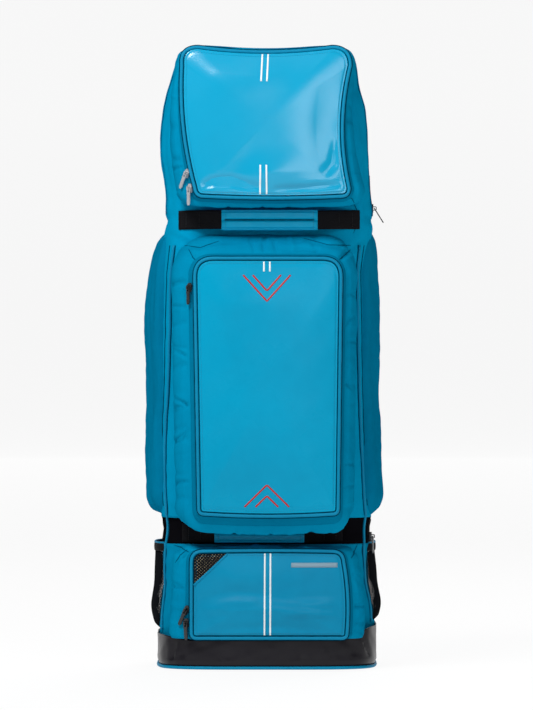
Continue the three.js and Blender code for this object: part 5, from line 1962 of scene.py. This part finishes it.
LEFT_FLANK = Flank(
    side=Side.LEFT, name="left", base_rise=LEFT_RISE,
    route=(
        (0, 22), (0.07, 20), (0.14, 21), (0.2, 24), (0.26, 28), (0.33, 31), (0.4, 28), (0.5, 29),
        (0.64, 35), (0.8, 37), (0.9, 38), (1, 40),
    ),
)
RIGHT_FLANK = Flank(
    side=Side.RIGHT, name="right", base_rise=RIGHT_RISE,
    route=(
        (0, 22), (0.07, 20), (0.14, 23), (0.2, 28), (0.26, 31), (0.33, 30), (0.4, 29), (0.5, 31),
        (0.64, 33), (0.8, 34), (0.9, 35), (1, 37),
    ),
)


# Handles


@dataclass
class Handle:
    """A webbing strap with a padded grip round its middle."""

    name: str
    trunk: Trunk
    height: float
    span: float
    shift: float
    standoff: float
    grip_length: float
    grip_width: float
    grip_shift: float
    seam_shade: float = 18.0
    strap_width: float = 28.0
    strap_thickness: float = 2.4
    stitch_half: float = 10.5
    stitch_lift: float = 1.7
    grip_bulge: float = 6.5
    grip_thread_lift: float = 6.2
    groove_depth: float = 3.4
    groove_half: float = 1.9

    def stand_y(self, x: Array, skin: Skin) -> Array:
        """How far in front of the mid plane the strap runs at x.

        Args:
            x: The places across.
            skin: What it is sewn to.

        Returns:
            The distance for each place.
        """
        surface = []
        for spot in x:
            hits = [skin.hit((spot, -RAY_START, self.height + dz), BACKWARD) for dz in (-12, 0, 12)]
            surface.append(max([-h[0][1] for h in hits if h is not None] or [60.0]))
        on = np.array(surface) + 1.6
        middle = self.shift + self.grip_shift
        gap = np.abs(x - middle) - self.grip_length / 2
        reach = self.span / 2 - self.seam_shade - self.grip_length / 2 - abs(self.grip_shift)
        share = 1 - smoothstep(gap, 0, reach)
        flat = float(self.trunk.halves(np.array([self.height]))[2][0])
        return on + (flat + self.standoff - on) * share

    def stations(self, low: float, high: float, count: int, skin: Skin) -> tuple[Array, Array]:
        """The strap's middle line.

        Args:
            low: Where it starts, as x.
            high: Where it ends.
            count: How many points.
            skin: What it is sewn to.

        Returns:
            The line and the outward direction at each point.
        """
        x = np.linspace(low, high, count)
        y = -self.stand_y(x, skin)
        y = eased(y[:, None], 5)[:, 0]
        line = np.stack([x, y, np.full(count, self.height)], axis=1)
        along = unit(np.gradient(line, axis=0))
        return line, unit(np.cross(along, np.array(UPWARD)))

    def build(self, skin: Skin) -> None:
        """Builds the strap and the grip.

        Args:
            skin: What the strap is sewn to.
        """
        low, high = self.shift - self.span / 2, self.shift + self.span / 2
        line, out = self.stations(low, high, 120, skin)
        line[:, 2] += 0.8 * np.sin((line[:, 0] - low) / 33.0)
        section = strap_profile(self.strap_width, self.strap_thickness, 0.3)
        rings = sweep_rings(line, repeated(UPWARD, len(line)), out, section)
        cloth_for(f"{self.name}_webbing", f"{self.name}_strap", rings, BLACK_STRAP)
        for end, start in (("left", 5), ("right", len(line) - 15)):
            for k, x in enumerate((start, start + 9)):
                rise = np.linspace(-self.stitch_half, self.stitch_half, 12)
                row = line[x] + out[x] * self.stitch_lift + np.outer(rise, UPWARD)
                stitch_row(f"{self.name}_{end}_stitches_{k}", row, repeated(out[x], 12), BLACK_THREAD, 2.6)
        self.grip(skin)

    def grip(self, skin: Skin) -> None:
        """Builds the padded grip with its stitched ends, and a dark tube in its middle seam as painted seam shade.

        Args:
            skin: What the strap is sewn to.
        """
        middle = self.shift + self.grip_shift
        reach = self.grip_length / 2
        count = 90
        line, out = self.stations(middle - reach, middle + reach, count, skin)
        share = np.linspace(-1, 1, count)
        rise = np.sin(np.linspace(-math.pi / 2, math.pi / 2, 61))
        half = self.grip_width / 2
        bulge = self.grip_bulge * (1 - np.abs(rise) ** 6 * 0.985) ** 0.5
        groove = self.groove_depth * np.exp(-((rise * half / self.groove_half) ** 2))
        edge = 1.5 * np.exp(-(((np.abs(rise) * half - half + 3.0) / 0.9) ** 2))
        upwards = np.concatenate([rise, rise[-2:0:-3]]) * half
        outwards = np.concatenate([bulge - groove - edge, -bulge[-2:0:-3]])
        tall = 1 - 0.04 * np.abs(share) ** 30
        thick = 1 - 0.45 * np.abs(share) ** 18 - 0.05 * np.cos(share * 9) ** 2
        up = repeated(UPWARD, count)
        rings = line[:, None, :] + up[:, None, :] * (tall[:, None] * upwards[None, :])[..., None]
        rings = rings + out[:, None, :] * (thick[:, None] * outwards[None, :])[..., None]
        rings = rings + out[:, None, :] * (0.45 * stretched_ripple(rings, 0.6, 26.0, 91))[..., None]
        piece = cloth_for(f"{self.name}_grip", f"{self.name}_padded_grip", rings, BLUE_GRIP)
        held = slice(3, -3)
        # A dark tube along the grip's middle groove: painted seam shade.
        seam_shade = line[held] + out[held] * (self.grip_bulge * thick[held] - 2.6)[:, None]
        capped(f"{self.name}_grip_seam_shade", sweep_rings(seam_shade, up[held], out[held], round_profile(0.9, 6)), PAINTED_SEAM_SHADE)
        for end, k in (("left", 4), ("right", 85)):
            rise = np.linspace(-0.42, 0.42, 14) * self.grip_width
            row = line[k] + out[k] * self.grip_thread_lift + np.outer(rise, UPWARD)
            stitch_row(f"{self.name}_grip_{end}_stitches", row, repeated(out[k], 14), BLUE_THREAD, 2.8)


TOP_HANDLE = Handle(
    name="top_handle", trunk=UPPER, height=659.0, span=266.0, shift=4.0, standoff=26.0,
    grip_length=141.0, grip_width=31.0, grip_shift=0.5,
)
LOW_HANDLE = Handle(
    name="low_handle", trunk=WAIST, height=199.0, span=236.0, shift=-6.0, standoff=20.0,
    grip_length=132.0, grip_width=29.0, grip_shift=-4.5,
)


# Zip pulls and the studio


@dataclass(frozen=True)
class Pulls:
    """The sliders and tabs, which keep their solid form and get their metal."""

    bright: tuple[str, ...] = ("top_upper", "top_lower")
    dark: tuple[str, ...] = ("mid", "low_upper", "low_lower", "main", "side")

    def dress(self, nodes: dict[str, bpy.types.Object]) -> None:
        """Gives each slider and tab its metal.

        Args:
            nodes: The frame's nodes by name.
        """
        for names, finish in ((self.bright, SILVER), (self.dark, BLACK_PULL)):
            for name in names:
                for part in ("slider", "tab"):
                    metal = nodes[f"{name}_{part}"]
                    metal.data.materials.clear()
                    metal.data.materials.append(finish.material())
                    LOG.info("%s: %s", metal.name, finish.name)


@dataclass
class Studio:
    """The floor, the light and the camera, in metres.

    scale holds a photograph's pixel in millimetres at the bag, and middle the x and z that the
    camera looks at.
    """

    scale: float = 1.489
    distance: float = 9.0
    elevation: float = 0.6
    middle: tuple[float, float] = (0.0, 0.4595)
    sensor: float = 24.0
    floor_front: float = -14.0
    floor_back: float = 11.0
    floor_half: float = 12.0
    bend: float = 1.2
    wall_top: float = 6.0

    def floor(self) -> None:
        """Makes the pale floor, curved up far behind the bag."""
        profile = [(self.floor_front, 0.0), (-4.0, 0.0), (4.0, 0.0), (self.floor_back, 0.0)]
        for a in np.linspace(0.05, math.pi / 2, 24):
            profile.append((self.floor_back + self.bend * math.sin(a), self.bend - self.bend * math.cos(a)))
        profile.append((self.floor_back + self.bend, self.wall_top))
        points = np.array([(x, y, z) for y, z in profile for x in (-self.floor_half, self.floor_half)])
        faces = [(2 * k, 2 * k + 1, 2 * k + 3, 2 * k + 2) for k in range(len(profile) - 1)]
        bench = NodeBench("pale_floor")
        bench.set(Base_Color=(0.07, 0.07, 0.07, 1), Roughness=0.9)
        bench.set(Emission_Color=(1, 1, 1, 1), Emission_Strength=0.89)
        floor = add_object("studio_floor", points, faces, bench.material)

    def lamp(self, name: str, place: Sequence[float], aim: Sequence[float], size: tuple[float, float], power: float,
             roll: float = 0.0) -> None:
        """Hangs a soft light.

        Args:
            name: The light's name.
            place: Where it is, in metres.
            aim: What it points at.
            size: Its width and height.
            power: Its power in watts.
            roll: How far it is rolled round its aim, in degrees.
        """
        light = bpy.data.lights.new(name, "AREA")
        light.shape = "RECTANGLE"
        light.size, light.size_y = size
        light.energy = power
        lamp = bpy.data.objects.new(name, light)
        lamp.location = place
        facing = (Vector(aim) - Vector(place)).to_track_quat("-Z", "Y")
        lamp.rotation_euler = (facing @ Quaternion((0, 0, 1), math.radians(roll))).to_euler()
        bpy.context.scene.collection.objects.link(lamp)

    def lights(self) -> None:
        """Hangs the soft lights and sets the pale surroundings."""
        world = bpy.data.worlds.new("studio_air")
        world.use_nodes = True
        air = world.node_tree.nodes["Background"].inputs
        air["Color"].default_value = (0.94, 0.96, 1.0, 1)
        air["Strength"].default_value = 0.12
        bpy.context.scene.world = world
        bpy.context.scene.view_settings.view_transform = "Standard"
        self.lamp("front_left_light", (-1.0, -1.6, 2.6), (0, 0, 0.6), (1.1, 0.8), 60)
        self.lamp("front_right_light", (0.85, -3.0, 1.68), (0, 0, 0.8), (2.3, 0.95), 26, 53)
        self.lamp("back_light", (0.9, 2.6, 2.4), (0, 0, 0.5), (1.6, 1.2), 26)

    def camera(self) -> None:
        """Sets the camera at the photograph's height and angle."""
        lens = bpy.data.cameras.new("front_camera")
        lens.sensor_fit = "VERTICAL"
        lens.sensor_height = self.sensor
        lens.lens = self.sensor * self.distance / (PHOTO_ROWS * self.scale * MM)
        lens.clip_end = 60.0
        camera = bpy.data.objects.new("front_camera", lens)
        rise = math.radians(self.elevation)
        x, z = self.middle
        camera.location = (x, -self.distance * math.cos(rise), z + self.distance * math.sin(rise))
        camera.rotation_euler = (math.pi / 2 - rise, 0, 0)
        bpy.context.scene.collection.objects.link(camera)
        bpy.context.scene.camera = camera

    def build(self) -> None:
        """Sets up the studio."""
        self.floor()
        self.lights()
        self.camera()


def paint_crease_shades(skin: Skin) -> None:
    """Lays thin dark tubes along the corner seams of the gussets and the seam round the upper handle's right end, as
    painted crease shade.

    Args:
        skin: The body and the gussets.
    """
    routes = (
        ((-114, 616), (-107, 603), (-99, 596)), ((124, 616), (114, 607), (103, 598)),
        ((-121, 622), (-97, 618), (-70, 628)), ((55, 632), (91, 622), (124, 622)),
        ((108, 697), (125, 690), (135, 671), (134, 655), (128, 640)), ((-136, 180), (-124, 177), (-113, 172)),
        ((-116, 176), (-126, 168), (-134, 156)), ((134, 181), (130, 172), (124, 163)),
    )
    for k, route in enumerate(routes):
        line, out = skin.front(spaced(np.array(route, dtype=float), 24, False), 0.1)
        taper = 0.25 + 0.75 * np.sin(math.pi * (np.arange(len(line)) + 0.5) / len(line)) ** 0.5
        rings = sweep_rings(line, across_of(line, out), out, round_profile(0.7, 6))
        # Each tube is a dark line of painted crease shade.
        capped(f"corner_seam_{k}", sized(line, rings, taper[:, None, None]), PAINTED_CREASE_SHADE)


def print_marks(faces: dict[str, bpy.types.Object]) -> None:
    """Prints the white stripes, the red chevrons and the plain bar.

    Args:
        faces: The pocket faces by name.
    """
    top, mid, low = (Print(faces[name]) for name in ("top_pocket", "mid_pocket", "low_pocket"))
    stripes = (
        (top, ((-5.8, 904.5), (-7.9, 861.5))), (top, ((2.7, 904.5), (0.6, 861.5))),
        (top, ((-9.0, 739.0), (-9.4, 696.0))), (top, ((-0.2, 739.0), (0.3, 696.0))),
        (mid, ((-3.7, 600.0), (-3.7, 583.0))), (mid, ((4.9, 600.0), (4.9, 583.0))),
        (low, ((-2.4, 171.0), (-3.0, 51.0))), (low, ((5.8, 171.0), (5.4, 51.0))),
    )
    for k, (page, spots) in enumerate(stripes):
        page.stroke(f"white_stripe_{k}", spots, 2.5, WHITE_PRINT)
    chevrons = (
        ((-34, 578), (0.6, 540), (35, 578)), ((-20, 578), (0.6, 555), (21, 578)),
        ((-32, 240), (0.6, 272), (33, 240)), ((-16, 240), (0.6, 256), (17, 240)),
    )
    for k, spots in enumerate(chevrons):
        mid.stroke(f"red_chevron_{k}", spots, 2.4, RED_PRINT)
    low.stroke("plain_bar", ((36, 154), (104, 154)), 7.0, GREY_PRINT)
    roll = Print(bpy.data.objects["mid_pocket_gusset_cloth"])
    for k, x in enumerate((-4.0, 4.6)):
        roll.stroke(f"white_dot_{k}", ((x - 1.0, 219.0), (x + 1.0, 219.0)), 2.0, WHITE_PRINT)


def main() -> None:
    """Builds the bag's pieces in order, then the studio."""
    logging.basicConfig(level=logging.INFO, format="%(name)s %(message)s")
    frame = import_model()
    Studio().build()
    bag = MainBag()
    bag.build()
    faces = {pocket.name: pocket.build() for pocket in (TOP_POCKET, MID_POCKET, LOW_POCKET)}
    paint_crease_shades(Skin(*bag.pieces, *(bpy.data.objects[f"{name}_gusset_cloth"] for name in faces)))
    low_skin = Skin(faces["low_pocket"])
    print_marks(faces)
    Vent().build(faces["low_pocket"], low_skin)
    skin = Skin(*bag.pieces)
    for flank in (LEFT_FLANK, RIGHT_FLANK):
        flank.build(skin)
    for handle in (TOP_HANDLE, LOW_HANDLE):
        handle.build(skin)
    Pulls().dress(frame["nodes"])


if __name__ == "__main__":
    main()
